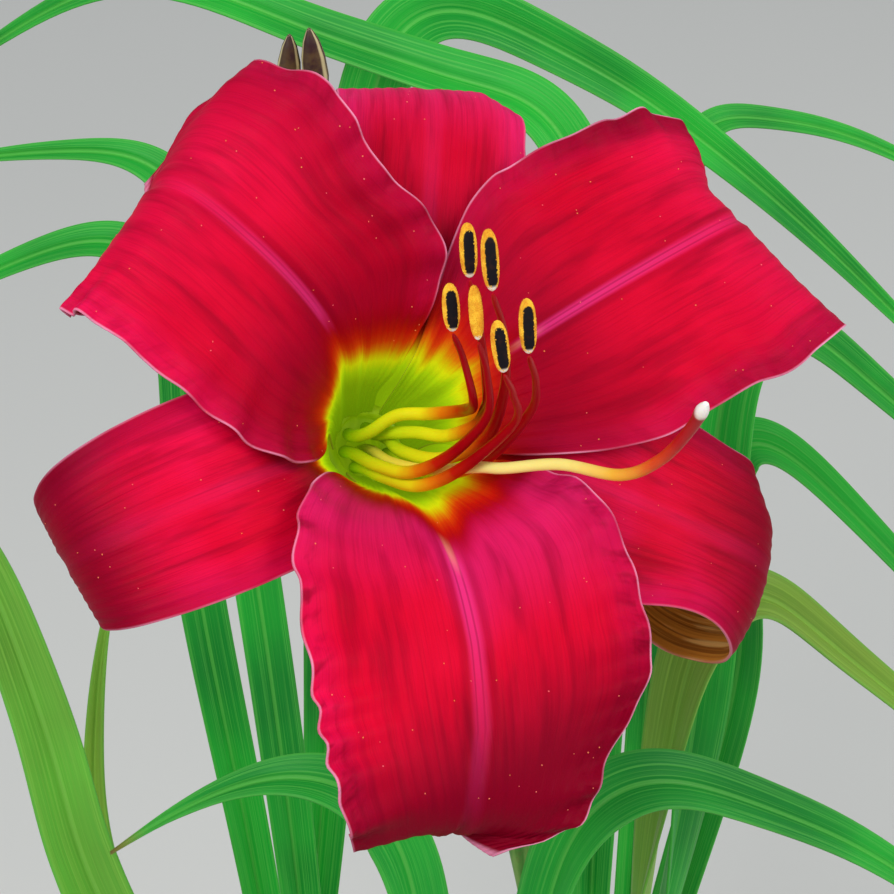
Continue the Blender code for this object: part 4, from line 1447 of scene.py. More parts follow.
@dataclass(frozen=True)
class Sepal(Tepal):
    """A tepal of the outer whorl, which stands wider, opens earlier and lies calmer than the petals."""

    gold: tuple[float, float, float] = (19.0, 20.0, 19.0)
    ring: float = SEPAL_RING
    throat: float = 24.0
    open_from: float = 11 * MM
    slot: Slot = Slot.SEPAL
    tissue: Finish = SEPAL_TISSUE
    ruffle: float = 0.25 * MM
    frill: float = 0.2 * MM
    buckle: float = 0.7 * MM
    groove: float = 0.15 * MM


PETALS = (
    Tepal(
        "petal_left", (78, 207), 133, 77 * MM, 24 * MM, 0.78, 83, 50 * MM, 126, 52 * MM, 76 * MM,
        skew=-3 * MM, sweep=9 * MM, twist=-7, cup=2, gold=(23, 26, 19), seed=1.0,
        lobes=((46, -1, -2.0, 5), (58, -1, 1.2, 4), (67, -1, 1.0, 4)),
        late=((-1, -0.8, -0.5, -0.15, 0.3, 1), (-1.5, 0.5, 0.6, 0.1, 0, 0)),
        frill=1.3 * MM, waves=12.0,
        tissue=TepalFinish(
            "petal_left_tissue", tip=0.25, deep=0.7, end_shade=0.0, rib_share=0.65, band=0.6, core=0.0,
            margin_shade=MarginShade(right=0.55, inward=17.0),
        ),
    ),
    Tepal(
        "petal_right", (-20, 78), 36, 99 * MM, 24 * MM, 0.69, 86, 35 * MM, 116, 61 * MM, 88 * MM,
        skew=-1 * MM, sweep=-7 * MM, twist=-10, end_cup=-1, gold=(22, 26, 24), seed=2.0,
        lobes=((66, 1, -1.0, 6), (80, 1, -4.5, 8), (64, -1, 1.2, 4), (86, -1, 2.0, 6)),
        late=((-1, 0.3, 0.75, 1), (0, 0, 4, 5)),
        frill=1.1 * MM, waves=11.0, groove=0.3 * MM,
        tissue=TepalFinish(
            "petal_right_tissue", tip=0.5, deep=0.7, rib_share=0.8, band=0.7, core=0.7,
            margin_shade=MarginShade(right=0.65, left=0.9, inward=7.5),
        ),
    ),
    Tepal(
        "petal_low", (-153, -20), -72, 85 * MM, 26 * MM, 0.58, 86, 54 * MM, 112, 66 * MM, 84 * MM,
        skew=5 * MM, sweep=-12 * MM, twist=-3, cup=7, end_cup=1, gold=(18, 30, 27), seed=3.0,
        lobes=((72, 1, -3.5, 6), (60, 1, 0.8, 5)),
        rib=((30, 50, 62, 70, 85), (-0.6, -0.5, -1.2, -3.0, -3.5)),
        ruffle=1.0 * MM, frill=1.5 * MM, waves=15.0,
        tissue=TepalFinish(
            "petal_low_tissue", flesh=rgb(214, 2, 42), shoulder=0.95, deep=0.05, end_shade_from=0.64, end_shade=0.95,
            slant=0.03, rib_share=0.85, band=0.85, crimp=0.7, margin_shade=MarginShade(left=0.35, inward=9.0),
        ),
    ),
)

SEPALS = (
    Sepal(
        "sepal_top", (30, 142), 83, 89 * MM, 15 * MM, 0.58, 104, 41 * MM, 114, 49 * MM, 81 * MM,
        skew=-2 * MM, twist=-3, cup=-6, end_cup=-6, seed=4.0,
        late=((-1, -0.6, 0), (-2.5, 0, 0)), tissue=ROSY_TISSUE,
    ),
    Sepal(
        "sepal_left", (142, 270), 203, 79 * MM, 15 * MM, 0.45, 93, 51 * MM, 117, 49 * MM, 77 * MM,
        skew=-1 * MM, sweep=2 * MM, twist=-1, end_cup=-5, seed=5.0,
        gold=(13, 14, 13), tissue=SHADED_SEPAL_TISSUE, ruffle=0.1 * MM, buckle=0.2 * MM,
    ),
    Sepal(
        "sepal_right", (-90, 30), -14, 92 * MM, 17 * MM, 0.7, 103, 40 * MM, 121, 61 * MM, 86 * MM,
        skew=3 * MM, sweep=-6 * MM, twist=-19, cup=-9, end_cup=-3, seed=6.0,
        lobes=((58, -1, -4.0, 11),),
        late=((-1, -0.5, 0, 0.5, 1), (-3, -0.5, 1, 1.5, -2.5)),
    ),
)


@dataclass(frozen=True)
class Stamen:
    """A filament and its anther: its bearing round the tube, and its guide points past the bundle, in mm.

    way, where it is given, is the filament's own way instead of the bundle's. dusted is how much pollen covers the
    anther's face, and tilt which flank carries more of it.
    """

    turn: float
    rise: tuple[tuple[float, float, float], ...]
    anther_top: tuple[float, float, float]
    way: tuple[tuple[float, float, float], ...] = ()
    dusted: float = 0.0
    girth: float = 1.0
    tilt: float = -0.12


BUNDLE = ((-0.6, -1.8, 6), (0.4, -4.8, 14), (3.8, -7.2, 23), (7.8, -5.8, 32))
BUNDLE_RADII = (3.1, 2.6, 2.8, 3.0)


@dataclass
class Stamens:
    """Six filaments that leave the tube as one bundle, each with its anther and pollen."""

    ring: float = 3.6
    shelf: float = 3 * MM
    radii: tuple[float, float] = (1.0 * MM, 0.45 * MM)
    anther_radius: float = 1.02 * MM
    anther_flat: float = 0.78
    anther_groove: float = 0.13
    grain_density: float = 6.0e7
    grain_radius: float = 0.1 * MM
    facing: tuple[float, float, float] = (0.0, -0.75, 0.66)
    each: tuple[Stamen, ...] = (
        Stamen(-10, ((13.7, -1.5, 43), (11.8, 1.1, 52), (8.4, 3.0, 60)), (6.9, 10.2, 64)),
        Stamen(40, ((9.8, 1.2, 43), (6.7, 7.1, 54), (2.7, 10.9, 62)), (0.9, 19.0, 66)),
        Stamen(
            90, ((7.6, 1.5, 42), (4.0, 8.3, 51), (0.6, 13.5, 58)), (-0.9, 20.7, 62),
            way=((-0.3, 0.9, 6), (1.1, 0.3, 11), (4.0, -0.3, 15.5), (7.4, -1.4, 20), (9.8, -1.0, 28), (9.4, 0.4, 35)),
        ),
        Stamen(
            140, ((5.8, 0.0, 41), (2.4, 4.6, 48), (-0.7, 6.8, 54)), (-2.3, 13.1, 58),
            way=((-3.6, 0.4, 6), (-2.4, 0.2, 11), (0.9, 2.2, 15.5), (5.2, 1.9, 20), (8.2, 1.2, 28)),
        ),
        Stamen(190, ((7.2, -2.4, 43), (5.0, 2.0, 51), (2.1, 5.1, 57)), (0.3, 12.3, 61), dusted=1.0, girth=0.8),
        Stamen(240, ((10.4, -3.8, 46), (7.6, -1.4, 55), (4.6, 0.0, 61)), (2.4, 6.7, 65)),
    )

    def path(self, stamen: Stamen) -> np.ndarray:
        """The filament's line from the tube's shelf to its tip.

        Args:
            stamen: Where it stands and where it goes.

        Returns:
            Its points.
        """
        turn = math.radians(stamen.turn)
        outward = np.array([math.cos(turn), math.sin(turn), 0])
        foot = self.ring * outward + (0, 0, (SEAT_GAP - self.shelf) / MM)
        bundle = [np.asarray(point) + radius * outward for point, radius in zip(BUNDLE, BUNDLE_RADII)]
        return smooth_path(from_bloom([foot, *(stamen.way or bundle), *stamen.rise]), 90)

    def anther(self, number: int, stamen: Stamen, path: np.ndarray, finish: Finish, pollen: Finish) -> None:
        """Two dark sacs side by side, crusted with pollen along their flanks.

        Args:
            number: The stamen's number.
            stamen: Where its anther ends.
            path: The filament's line.
            finish: The sacs' tissue.
            pollen: The grains.
        """
        top = from_bloom(stamen.anther_top)
        z = unit(top - path[-1])
        start = path[-1] + unit(path[-1] - path[-2]) * SEAT_GAP + z * 0.5 * self.radii[1]
        length = np.linalg.norm(top - start)
        y = -unit(np.asarray(self.facing) - np.dot(self.facing, z) * z)
        x = np.cross(y, z)
        share = np.linspace(0, 1, 40)
        wide = np.sqrt(np.clip(1 - np.abs(2 * share - 1) ** 2.6, 0, 1))
        radius = self.anther_radius * stamen.girth
        profile = np.stack([wide * radius, share * length], axis=1)
        name, squash = f"anther_{number}", (1.0, self.anther_flat)
        sac = lathe_object(f"{name}_sac", profile, 36, (start, x, y, z), finish, self.anther_groove, 2, squash)
        place = (points_of(sac) - start) @ np.stack([x, y, z]).T
        over = np.abs(place[:, 0] / radius + stamen.tilt)
        end = np.abs(2 * place[:, 2] / length - 0.95)
        flank = np.sqrt(over**2 + (1.12 * end) ** 6) + 0.35 * (place[:, 1] > 0.2 * radius) + stamen.dusted
        carry(sac.data, {"flank": flank})
        seat(sac, Slot.ANTHER, name)
        share = smooth(flank, 0.66, 0.95) * smooth(place[:, 2] / length, 0.04, 0.16)
        grains = strew(f"{name}_pollen", sac, share, pollen, self.grain_density, self.grain_radius, number, 0.2)
        seat(grains, Slot.ANTHER)

    def build(self, thread: Finish, sac: Finish, pollen: Finish) -> None:
        """Build the six stamens.

        Args:
            thread: The filaments' tissue.
            sac: The anthers' tissue.
            pollen: The pollen's grains.
        """
        for number, stamen in enumerate(self.each, 1):
            path = self.path(stamen)
            share = np.linspace(0, 1, len(path))
            radii = rounded(self.radii[0] + (self.radii[1] - self.radii[0]) * smooth(share, 0.4, 1.0), 4)
            name = f"filament_{number}"
            seat(stem(f"{name}_thread", path, radii, thread, 18), Slot.FILAMENT, name)
            self.anther(number, stamen, path, sac, pollen)


@dataclass
class Pistil:
    """The ovary in the tube, its long style and the pale stigma at its end."""

    guide: tuple[tuple[float, float, float], ...] = (
        (0, 0, -20.5),
        (0, 0, -13),
        (0, 0, -4),
        *BUNDLE[:3],
        (9.0, -8.0, 32),
        (11.5, -8.8, 37),
        (17.1, -9.4, 46),
        (22.7, -12.2, 56),
        (26.0, -11.1, 63),
        (27.8, -8.0, 70),
        (28.3, -5.3, 75),
    )
    ovary_radius: float = 2.0 * MM
    style_radius: float = 0.85 * MM
    stigma_radius: float = 1.08 * MM
    steps: int = 150

    def build(self, finish: Finish) -> None:
        """Build it as one stem with its own girth at each point.

        Args:
            finish: Its tissue.
        """
        path = smooth_path(from_bloom(self.guide), self.steps)
        share = np.linspace(0, 1, self.steps)
        radii = self.ovary_radius + (self.style_radius - self.ovary_radius) * smooth(share, 0.03, 0.14)
        radii = radii + (self.stigma_radius - self.style_radius) * smooth(share, 0.965, 0.99)
        seat(stem("pistil_style", path, rounded(radii, 4), finish, 24), Slot.PISTIL, "pistil")


@dataclass
class FlowerTube:
    """The perianth tube under the tepals, with the well that the ovary stands in."""

    length: float = 28 * MM
    foot_radius: float = 3.2 * MM
    mouth_radius: float = 7.4 * MM
    bore_radius: float = 5.0 * MM
    well_radius: float = 2.8 * MM
    well_depth: float = 21 * MM
    shelf: float = 3 * MM
    flutes: int = 6
    flute_depth: float = 0.015

    def build(self, finish: Finish) -> None:
        """Turn it round the bloom's axis, with faint flutes.

        Args:
            finish: Its tissue.
        """
        guide = (
            (0, -self.length),
            (self.foot_radius * 0.8, -self.length),
            (self.foot_radius, -self.length + 0.6 * MM),
            (self.foot_radius + 0.9 * MM, -0.75 * self.length),
            (self.foot_radius + 1.3 * MM, -0.4 * self.length),
            (self.mouth_radius - 1.2 * MM, -4 * MM),
            (self.mouth_radius, -0.4 * MM),
            (self.mouth_radius - 0.4 * MM, 0),
            (self.bore_radius + 0.3 * MM, 0),
            (self.bore_radius, -0.3 * MM),
            (self.bore_radius, -self.shelf),
            (self.well_radius, -self.shelf),
            (self.well_radius, -self.well_depth),
            (0, -self.well_depth),
        )
        place = (THROAT, *axes_along(BLOOM_AXIS))
        tube = lathe_object("flower_tube_wall", np.array(guide), 72, place, finish, self.flute_depth, self.flutes)
        tube.data.set_sharp_from_angle(angle=math.radians(50))
        seat(tube, Slot.TUBE, "flower_tube")


@dataclass
class Bloom:
    """The open flower: six tepals on a tube, six stamens and a pistil."""

    # the tube glows with painted light, so that its shaded mouth matches the lit throat
    tube_tissue: Finish = StemFinish("tube_tissue", rgb(138, 172, 8), rgb(156, 186, 16), rgb(120, 150, 8), glow=0.35)
    thread: Finish = ThreadFinish(
        "filament_tissue",
        (
            (0.0, rgb(150, 190, 14)),
            (0.2, rgb(190, 218, 20)),
            (0.38, rgb(236, 232, 24)),
            (0.45, rgb(228, 130, 12)),
            (0.52, rgb(188, 30, 6)),
            (0.6, rgb(156, 2, 8)),
            (1.0, rgb(166, 4, 14)),
        ),
    )
    style: Finish = ThreadFinish(
        "style_tissue",
        (
            (0.0, rgb(150, 176, 20)),
            (0.4, rgb(248, 226, 80)),
            (0.55, rgb(255, 246, 146)),
            (0.7, rgb(254, 236, 130)),
            (0.79, rgb(248, 186, 60)),
            (0.86, rgb(220, 76, 30)),
            (0.92, rgb(182, 18, 24)),
            (0.98, rgb(160, 30, 34)),
            (0.987, rgb(236, 224, 216)),
            (1.0, rgb(244, 240, 236)),
        ),
    )
    sac: Finish = SacFinish("anther_tissue")
    pollen: Finish = GrainFinish("pollen_grains", rgb(255, 206, 56), rgb(232, 156, 24))
    dust: Finish = GrainFinish("pollen_dust", rgb(246, 150, 70), rgb(240, 96, 110))

    def build(self) -> None:
        """Build every piece of the flower."""
        for tepal in (*PETALS, *SEPALS):
            tepal.build(self.dust)
        FlowerTube().build(self.tube_tissue)
        Stamens().build(self.thread, self.sac, self.pollen)
        Pistil().build(self.style)


# ---------------------------------------------------------------- pot, soil, crowns


@dataclass
class Pot:
    """Plain terracotta pot with a rim band and drain holes, filled with soil."""

    height: float = 165 * MM
    base_radius: float = 68 * MM
    mouth_radius: float = 96 * MM
    wall: float = 6 * MM
    floor: float = 9 * MM
    rim_height: float = 30 * MM
    rim_step: float = 6 * MM
    sides: int = 144
    drain_radius: float = 5 * MM
    drain_ring: float = 34 * MM
    drain_low: float = -2 * MM
    drain_high: float = 14 * MM
    drains: int = 3
    soil_below_rim: float = 18 * MM
    soil_mound: float = 5 * MM
    lumps: tuple[tuple[float, float, float, float], ...] = (
        (1.1, 160, 0.3, 1.1),
        (0.8, 330, 2.0, 0.4),
        (0.5, 700, 0.9, 2.7),
    )
    crumb_density: float = 90000.0
    crumb_radius: float = 1.1 * MM
    clay: Finish = ClayFinish("terracotta")
    bed: Finish = SoilFinish("potting_soil")
    crumbs: Finish = GrainFinish("soil_crumbs", rgb(96, 70, 48), rgb(36, 25, 18), 300.0)

    def radius(self, height: float) -> float:
        """The body's outer radius at a height."""
        return self.base_radius + (self.mouth_radius - self.rim_step - self.base_radius) * height / self.height

    def profile(self) -> np.ndarray:
        """The wall's outline from the middle of the base, out, up, over the rim and down inside.

        Returns:
            Rows of radius and height.
        """
        foot = self.height - self.rim_height
        guide = (
            (0, 0),
            (self.base_radius - 2.5 * MM, 0),
            (self.base_radius - 0.8 * MM, 0.6 * MM),
            (self.base_radius, 2.5 * MM),
            (self.radius(0.5 * foot) + 0.3 * MM, 0.5 * foot),
            (self.radius(foot) - 0.4 * MM, foot - 1 * MM),
            (self.radius(foot) + 0.6 * MM, foot + 0.2 * MM),
            (self.mouth_radius - 3.4 * MM, foot + 0.9 * MM),
            (self.mouth_radius - 2.2 * MM, foot + 2.6 * MM),
            (self.mouth_radius - 1.0 * MM, foot + 0.5 * self.rim_height),
            (self.mouth_radius - 0.2 * MM, self.height - 3.4 * MM),
            (self.mouth_radius - 0.8 * MM, self.height - 1.2 * MM),
            (self.mouth_radius - 2.4 * MM, self.height - 0.2 * MM),
            (self.mouth_radius - 4.2 * MM, self.height),
            (self.radius(self.height) - self.wall + 2 * MM, self.height - 0.8 * MM),
            (self.radius(self.height) - self.wall, self.height - 3 * MM),
            (self.radius(self.floor) - self.wall, self.floor),
            (0, self.floor),
        )
        return np.array(guide)

    def build_wall(self) -> None:
        """Turn the wall and pierce its base."""
        pot = lathe_object("pot_clay", self.profile(), self.sides, UPRIGHT)
        radius, low, high = self.drain_radius, self.drain_low, self.drain_high
        drill = np.array(((0, low), (radius, low), (radius, high), (0, high)))
        drills = []
        for number in range(self.drains):
            turn = 2 * math.pi * (number + 0.5) / self.drains
            spot = (self.drain_ring * math.cos(turn), self.drain_ring * math.sin(turn), 0)
            drills.append(lathe_object(f"drill_{number}", drill, 32, (spot, *UPRIGHT[1:])))
            cutter = pot.modifiers.new(f"drain_{number}", "BOOLEAN")
            cutter.operation = "DIFFERENCE"
            cutter.solver = "EXACT"
            cutter.object = drills[-1]
        bake(pot, self.clay)
        for tool in drills:
            bpy.data.objects.remove(tool)
        pot.data.set_sharp_from_angle(angle=math.radians(40))
        seat(pot, Slot.POT, "pot")

    def build_soil(self) -> None:
        """The soil bed, uneven on top, with loose crumbs on it."""
        low, high = self.floor + SEAT_GAP, self.height - self.soil_below_rim
        foot, top = (self.radius(h) - self.wall - SEAT_GAP for h in (low, high))
        shares = np.linspace(1, 0, 46)[:-1]
        surface = [(top * share, high + self.soil_mound * (1 - share**2)) for share in shares]
        belly = (foot + 0.3 * (top - foot), low + 0.3 * (high - low))
        guide = np.array([(0, low), (foot, low), belly, *surface, (0, high + self.soil_mound)])
        bed = lathe_object("soil_bed", guide, 120, UPRIGHT, self.bed)
        place = points_of(bed)
        radius = np.hypot(place[:, 0], place[:, 1])
        on_top = smooth(place[:, 2], high - 2 * MM, high) * smooth(top - radius, 0.5 * MM, 6 * MM)
        lumps = sum(
            size * np.sin(place[:, 0] * rate + shift) * np.cos(place[:, 1] * rate * 1.13 + other)
            for size, rate, shift, other in self.lumps
        )
        place[:, 2] += on_top * lumps * MM
        bed.data.vertices.foreach_set("co", place.ravel())
        seat(bed, Slot.SOIL, "soil")
        crumbs = strew("soil_crumbs", bed, on_top, self.crumbs, self.crumb_density, self.crumb_radius, 11, 0.2)
        seat(crumbs, Slot.SOIL)

    def build(self) -> None:
        """Build the pot and its soil."""
        self.build_wall()
        self.build_soil()


# ---------------------------------------------------------------- leaves

CROWN_TOP = 145 * MM


@dataclass(frozen=True)
class Leaf:
    """One leaf: its side and rank in its fan, its width, how far its face turns to the front, and its line in mm."""

    side: int
    rank: int
    half_width: float
    facing: float
    guide: tuple[tuple[float, float, float], ...]


@dataclass(frozen=True)
class Fan:
    """A crown with its leaves in two ranks, along one bearing."""

    name: str
    middle: tuple[float, float]
    bearing: float
    leaves: tuple[Leaf, ...]


FANS = (
    Fan("a", (28 * MM, 14 * MM), 65, (
        Leaf(+1, 0, 7 * MM, 0.6, (
            (34, 54, 280), (35, 82, 365), (27, 108, 450), (0, 119, 461), (-25, 126, 467), (-71, 136, 476),
            (-128, 148, 438),
        )),
        Leaf(+1, 1, 7 * MM, 0.5, ((52, 56, 265), (66, 64, 345), (61, 68, 404), (100, 74, 365), (152, 80, 294))),
        Leaf(+1, 2, 4.5 * MM, 0.6, (
            (47, 88, 268), (52, 126, 342), (58, 168, 417), (76, 180, 419), (113, 198, 400), (172, 210, 358),
        )),
        Leaf(-1, 0, 7.5 * MM, 0.6, (
            (35, -4, 265), (50, 18, 360), (58, 50, 440), (93, 60, 416), (143, 70, 357),
        )),
        Leaf(-1, 1, 7 * MM, 0.5, (
            (33, -14, 250), (38, -14, 320), (42, -13, 375), (47, -10, 414), (56, -6, 421), (75, 1, 399),
            (103, 9, 366), (131, 14, 322),
        )),
        Leaf(-1, 2, 7 * MM, 0.3, (
            (16, -22, 238), (40, -38, 270), (84, -66, 278), (128, -96, 252), (166, -118, 212),
            (190, -130, 175),
        )),
    )),
    Fan("b", (-26 * MM, 20 * MM), 115, (
        Leaf(+1, 0, 5.5 * MM, 0.6, (
            (-34, 44, 290), (-42, 54, 390), (-51, 62, 465), (-77, 70, 470), (-118, 80, 459),
        )),
        Leaf(+1, 1, 6 * MM, 0.6, (
            (-46, 64, 280), (-58, 84, 360), (-62, 96, 430), (-97, 100, 425), (-145, 108, 389),
        )),
        Leaf(+1, 2, 8.5 * MM, 0.75, (
            (-30, 80, 290), (-24, 114, 390), (-11, 148, 460), (29, 157, 447), (77, 163, 408), (141, 172, 339),
        )),
        Leaf(-1, 0, 3.5 * MM, 0.3, ((-44, 16, 250), (-73, 24, 310), (-74, 33, 359), (-64, 40, 406))),
        Leaf(-1, 1, 7.5 * MM, 0.5, (
            (-30, -1, 245), (-54, 0, 292), (-73, 2, 335), (-80, 5, 378), (-94, 12, 424), (-118, 16, 440),
        )),
        Leaf(-1, 2, 7 * MM, 0.3, (
            (-14, -20, 236), (-38, -36, 270), (-86, -54, 280), (-140, -66, 256), (-178, -75, 216),
            (-198, -80, 185),
        )),
    )),
    Fan("c", (-2 * MM, -42 * MM), 8, (
        Leaf(+1, 0, 7 * MM, 0.5, (
            (9, -38, 250), (14, -38, 325), (19, -38, 370), (25, -36, 392), (36, -33, 398), (55, -28, 387),
            (87, -18, 360), (139, -8, 303),
        )),
        Leaf(+1, 1, 7 * MM, 0.3, (
            (30, -46, 228), (50, -78, 258), (84, -128, 262), (118, -178, 222), (140, -208, 165),
        )),
        Leaf(+1, 2, 7 * MM, 0.2, (
            (46, -40, 222), (76, -47, 236), (118, -56, 226), (160, -63, 188), (192, -68, 135),
        )),
        Leaf(-1, 0, 6.5 * MM, 0.5, (
            (-8, -46, 250), (-5, -47, 325), (-5, -47, 372), (-11, -47, 402), (-25, -46, 411), (-44, -44, 402),
            (-61, -42, 387),
        )),
        Leaf(-1, 1, 7 * MM, 0.3, (
            (-33, -52, 228), (-52, -84, 258), (-86, -134, 262), (-119, -182, 222), (-142, -214, 165),
        )),
        Leaf(-1, 2, 7 * MM, 0.2, (
            (-50, -44, 222), (-84, -38, 238), (-130, -31, 226), (-176, -25, 188), (-212, -20, 135),
        )),
        Leaf(-1, -2, 6 * MM, 0.3, ((-2, -55, 236), (0, -76, 310), (8, -114, 350), (18, -160, 330))),
    )),
)

AGED = {"leaf_a_5": 0.55, "leaf_b_5": 0.35, "leaf_b_4": 0.6}  # share of yellowing of the older leaves


@dataclass
class Foliage:
    """Three fans of arching strap leaves on their crowns.

    keel_first is how far the first rank's keel stands from the crown's middle, and keel_step how much further each
    rank's does. sheath holds how far out, and how much further out for each rank, a leaf stands at two rises over its
    foot, in mm. A leaf turns its face to the front by level_from, a share of its length, and stays so.
    """

    fans: tuple[Fan, ...] = FANS
    thickness: float = 0.7 * MM
    steps: int = 110
    columns: int = 17
    bend_weight: float = 0.08
    ease: float = 9 * MM
    level_from: float = 0.6
    keel_first: float = 8.6 * MM
    keel_step: float = 2.7 * MM
    sheath: tuple[tuple[float, float, float], ...] = ((1, 2.5, 28), (3, 7, 56))
    base_half_width: float = 5.2 * MM
    base_fold: float = 60.0
    open_fold: float = 24.0
    crown_half_length: float = 17 * MM
    crown_half_width: float = 8.5 * MM
    crown_depth: float = 16 * MM
    crown_flutes: int = 9
    crown_flute_depth: float = 0.02
    tissue: Finish = LeafFinish("leaf_tissue")
    crown_tissue: Finish = CrownFinish("crown_tissue")

    def spine(self, leaf: Leaf, fan: Fan) -> tuple[np.ndarray, np.ndarray, np.ndarray]:
        """The leaf's midrib, with its turns.

        Args:
            leaf: Its sizes.
            fan: The fan that it grows in.

        Returns:
            The midrib's points, and the directions to the side and off the upper face at each.
        """
        out = math.radians(fan.bearing if leaf.side > 0 else fan.bearing + 180)
        outward = np.array([math.cos(out), math.sin(out), 0])
        foot = np.array([*fan.middle, CROWN_TOP + SEAT_GAP])
        foot = foot + (self.keel_first + leaf.rank * self.keel_step) * outward
        rank = max(leaf.rank, 0)
        sheath = [foot + outward * (near + more * rank) * MM + (0, 0, rise * MM) for near, more, rise in self.sheath]
        guide = [foot, *sheath, *(np.asarray(leaf.guide) * MM)]
        spine = smooth_path(guide, self.steps, self.bend_weight, self.ease)
        tangent = np.gradient(spine, axis=0)
        tangent /= np.linalg.norm(tangent, axis=1, keepdims=True)
        sides = [np.array([-outward[1], outward[0], 0])]
        for here in tangent[1:]:
            carried = sides[-1]
            sides.append(unit(carried - np.dot(carried, here) * here))
        side = np.array(sides)
        upper = np.cross(tangent, side)
        level = np.cross(tangent, (0, leaf.facing, -math.sqrt(1 - leaf.facing**2)))
        level /= np.linalg.norm(level, axis=1, keepdims=True)
        share = np.linspace(0, 1, len(spine))
        angle = np.unwrap(np.arctan2(np.sum(level * upper, axis=1), np.sum(level * side, axis=1)))
        angle = np.interp(np.maximum(share, self.level_from), share, angle)
        angle = angle - 2 * math.pi * round(angle[0] / (2 * math.pi))
        roll = (angle * smooth(share, 0.1, self.level_from))[:, None]
        return spine, side * np.cos(roll) + upper * np.sin(roll), upper * np.cos(roll) - side * np.sin(roll)

    def leaf(self, name: str, leaf: Leaf, fan: Fan, seed: float) -> None:
        """Build one leaf as a keeled strip, folded tight at the foot.

        Args:
            name: The solid that it stands for.
            leaf: Its sizes.
            fan: The fan that it grows in.
            seed: The seed of its buckles.
        """
        spine, side, upper = self.spine(leaf, fan)
        share = np.linspace(0, 1, self.steps)[:, None]
        width = self.base_half_width + (leaf.half_width - self.base_half_width) * smooth(share, 0.05, 0.45)
        width = width * (1 - 0.95 * np.clip((share - 0.5) / 0.5, 0, 1) ** 2.2)
        fold = np.radians(self.base_fold + (self.open_fold - self.base_fold) * smooth(share, 0.03, 0.4))
        across = np.linspace(-1, 1, self.columns)[None, :]
        softened = np.sqrt(across**2 + 0.06**2) - 0.06
        arched = softened + 0.12 * np.sin(math.pi * np.abs(across))
        grid = (
            spine[:, None, :]
            + side[:, None, :] * (across * width * np.cos(fold))[:, :, None]
            + upper[:, None, :] * (arched * width * np.sin(fold))[:, :, None]
        )
        steps = np.linalg.norm(np.diff(spine, axis=0), axis=1)
        run = np.concatenate([[0], np.cumsum(steps)])[:, None] / MM
        layers = {
            "across": across + 0 * share,
            "along": share + 0 * across,
            "side_mm": across * width / MM,
            "run_mm": run + 0 * across,
            "edge_mm": (1 - np.abs(across)) * width / MM,
            "age": np.full(grid.shape[:2], AGED.get(name, 0.0)),
        }
        thickness = (self.thickness * (1 - 0.35 * np.abs(across))) * (1 - 0.4 * smooth(share, 0.7, 1.0))
        blade = sheet_object(f"{name}_blade", grid, thickness, layers)
        relief_tree().run(
            blade,
            self.tissue,
            groove_depth=0.18 * MM,
            groove_width=0.9,
            rib_depth=0.07 * MM,
            rib_count=9.0,
            ruffle_depth=0.0,
            ruffle_waves=3.0,
            frill_depth=0.0,
            buckle_depth=0.8 * MM,
            seed=seed,
        )
        seat(blade, Slot.LEAF, name)

    def crown(self, fan: Fan) -> None:
        """Build the short pale stem that a fan stands on.

        Args:
            fan: The fan.
        """
        turn = math.radians(fan.bearing)
        x, y = (math.cos(turn), math.sin(turn), 0), (-math.sin(turn), math.cos(turn), 0)
        low, width = CROWN_TOP - self.crown_depth, self.crown_half_width
        profile = (
            (0, low),
            (width - 2 * MM, low),
            (width, low + 3 * MM),
            (width, CROWN_TOP - 1.6 * MM),
            (width - 0.6 * MM, CROWN_TOP - 0.4 * MM),
            (width - 2 * MM, CROWN_TOP),
            (0, CROWN_TOP),
        )
        stretch = (self.crown_half_length / width, 1.0)
        place, name = ((*fan.middle, 0), x, y, (0, 0, 1)), f"crown_{fan.name}"
        flutes = (self.crown_flute_depth, self.crown_flutes)
        crown = lathe_object(f"{name}_base", np.array(profile), 64, place, self.crown_tissue, *flutes, stretch)
        seat(crown, Slot.CROWN, name)

    def build(self) -> None:
        """Build every crown and leaf."""
        for place, fan in enumerate(self.fans):
            self.crown(fan)
            for number, leaf in enumerate(fan.leaves, 1):
                self.leaf(f"leaf_{fan.name}_{number}", leaf, fan, 10.0 * place + number)


# ---------------------------------------------------------------- scape and buds


@dataclass(frozen=True)
class Bud:
    """A closed bud on the scape's end: its foot off the middle of the end, and the way it points."""

    name: str
    foot: tuple[float, float]
    direction: tuple[float, float, float]
    length: float
    radius: float


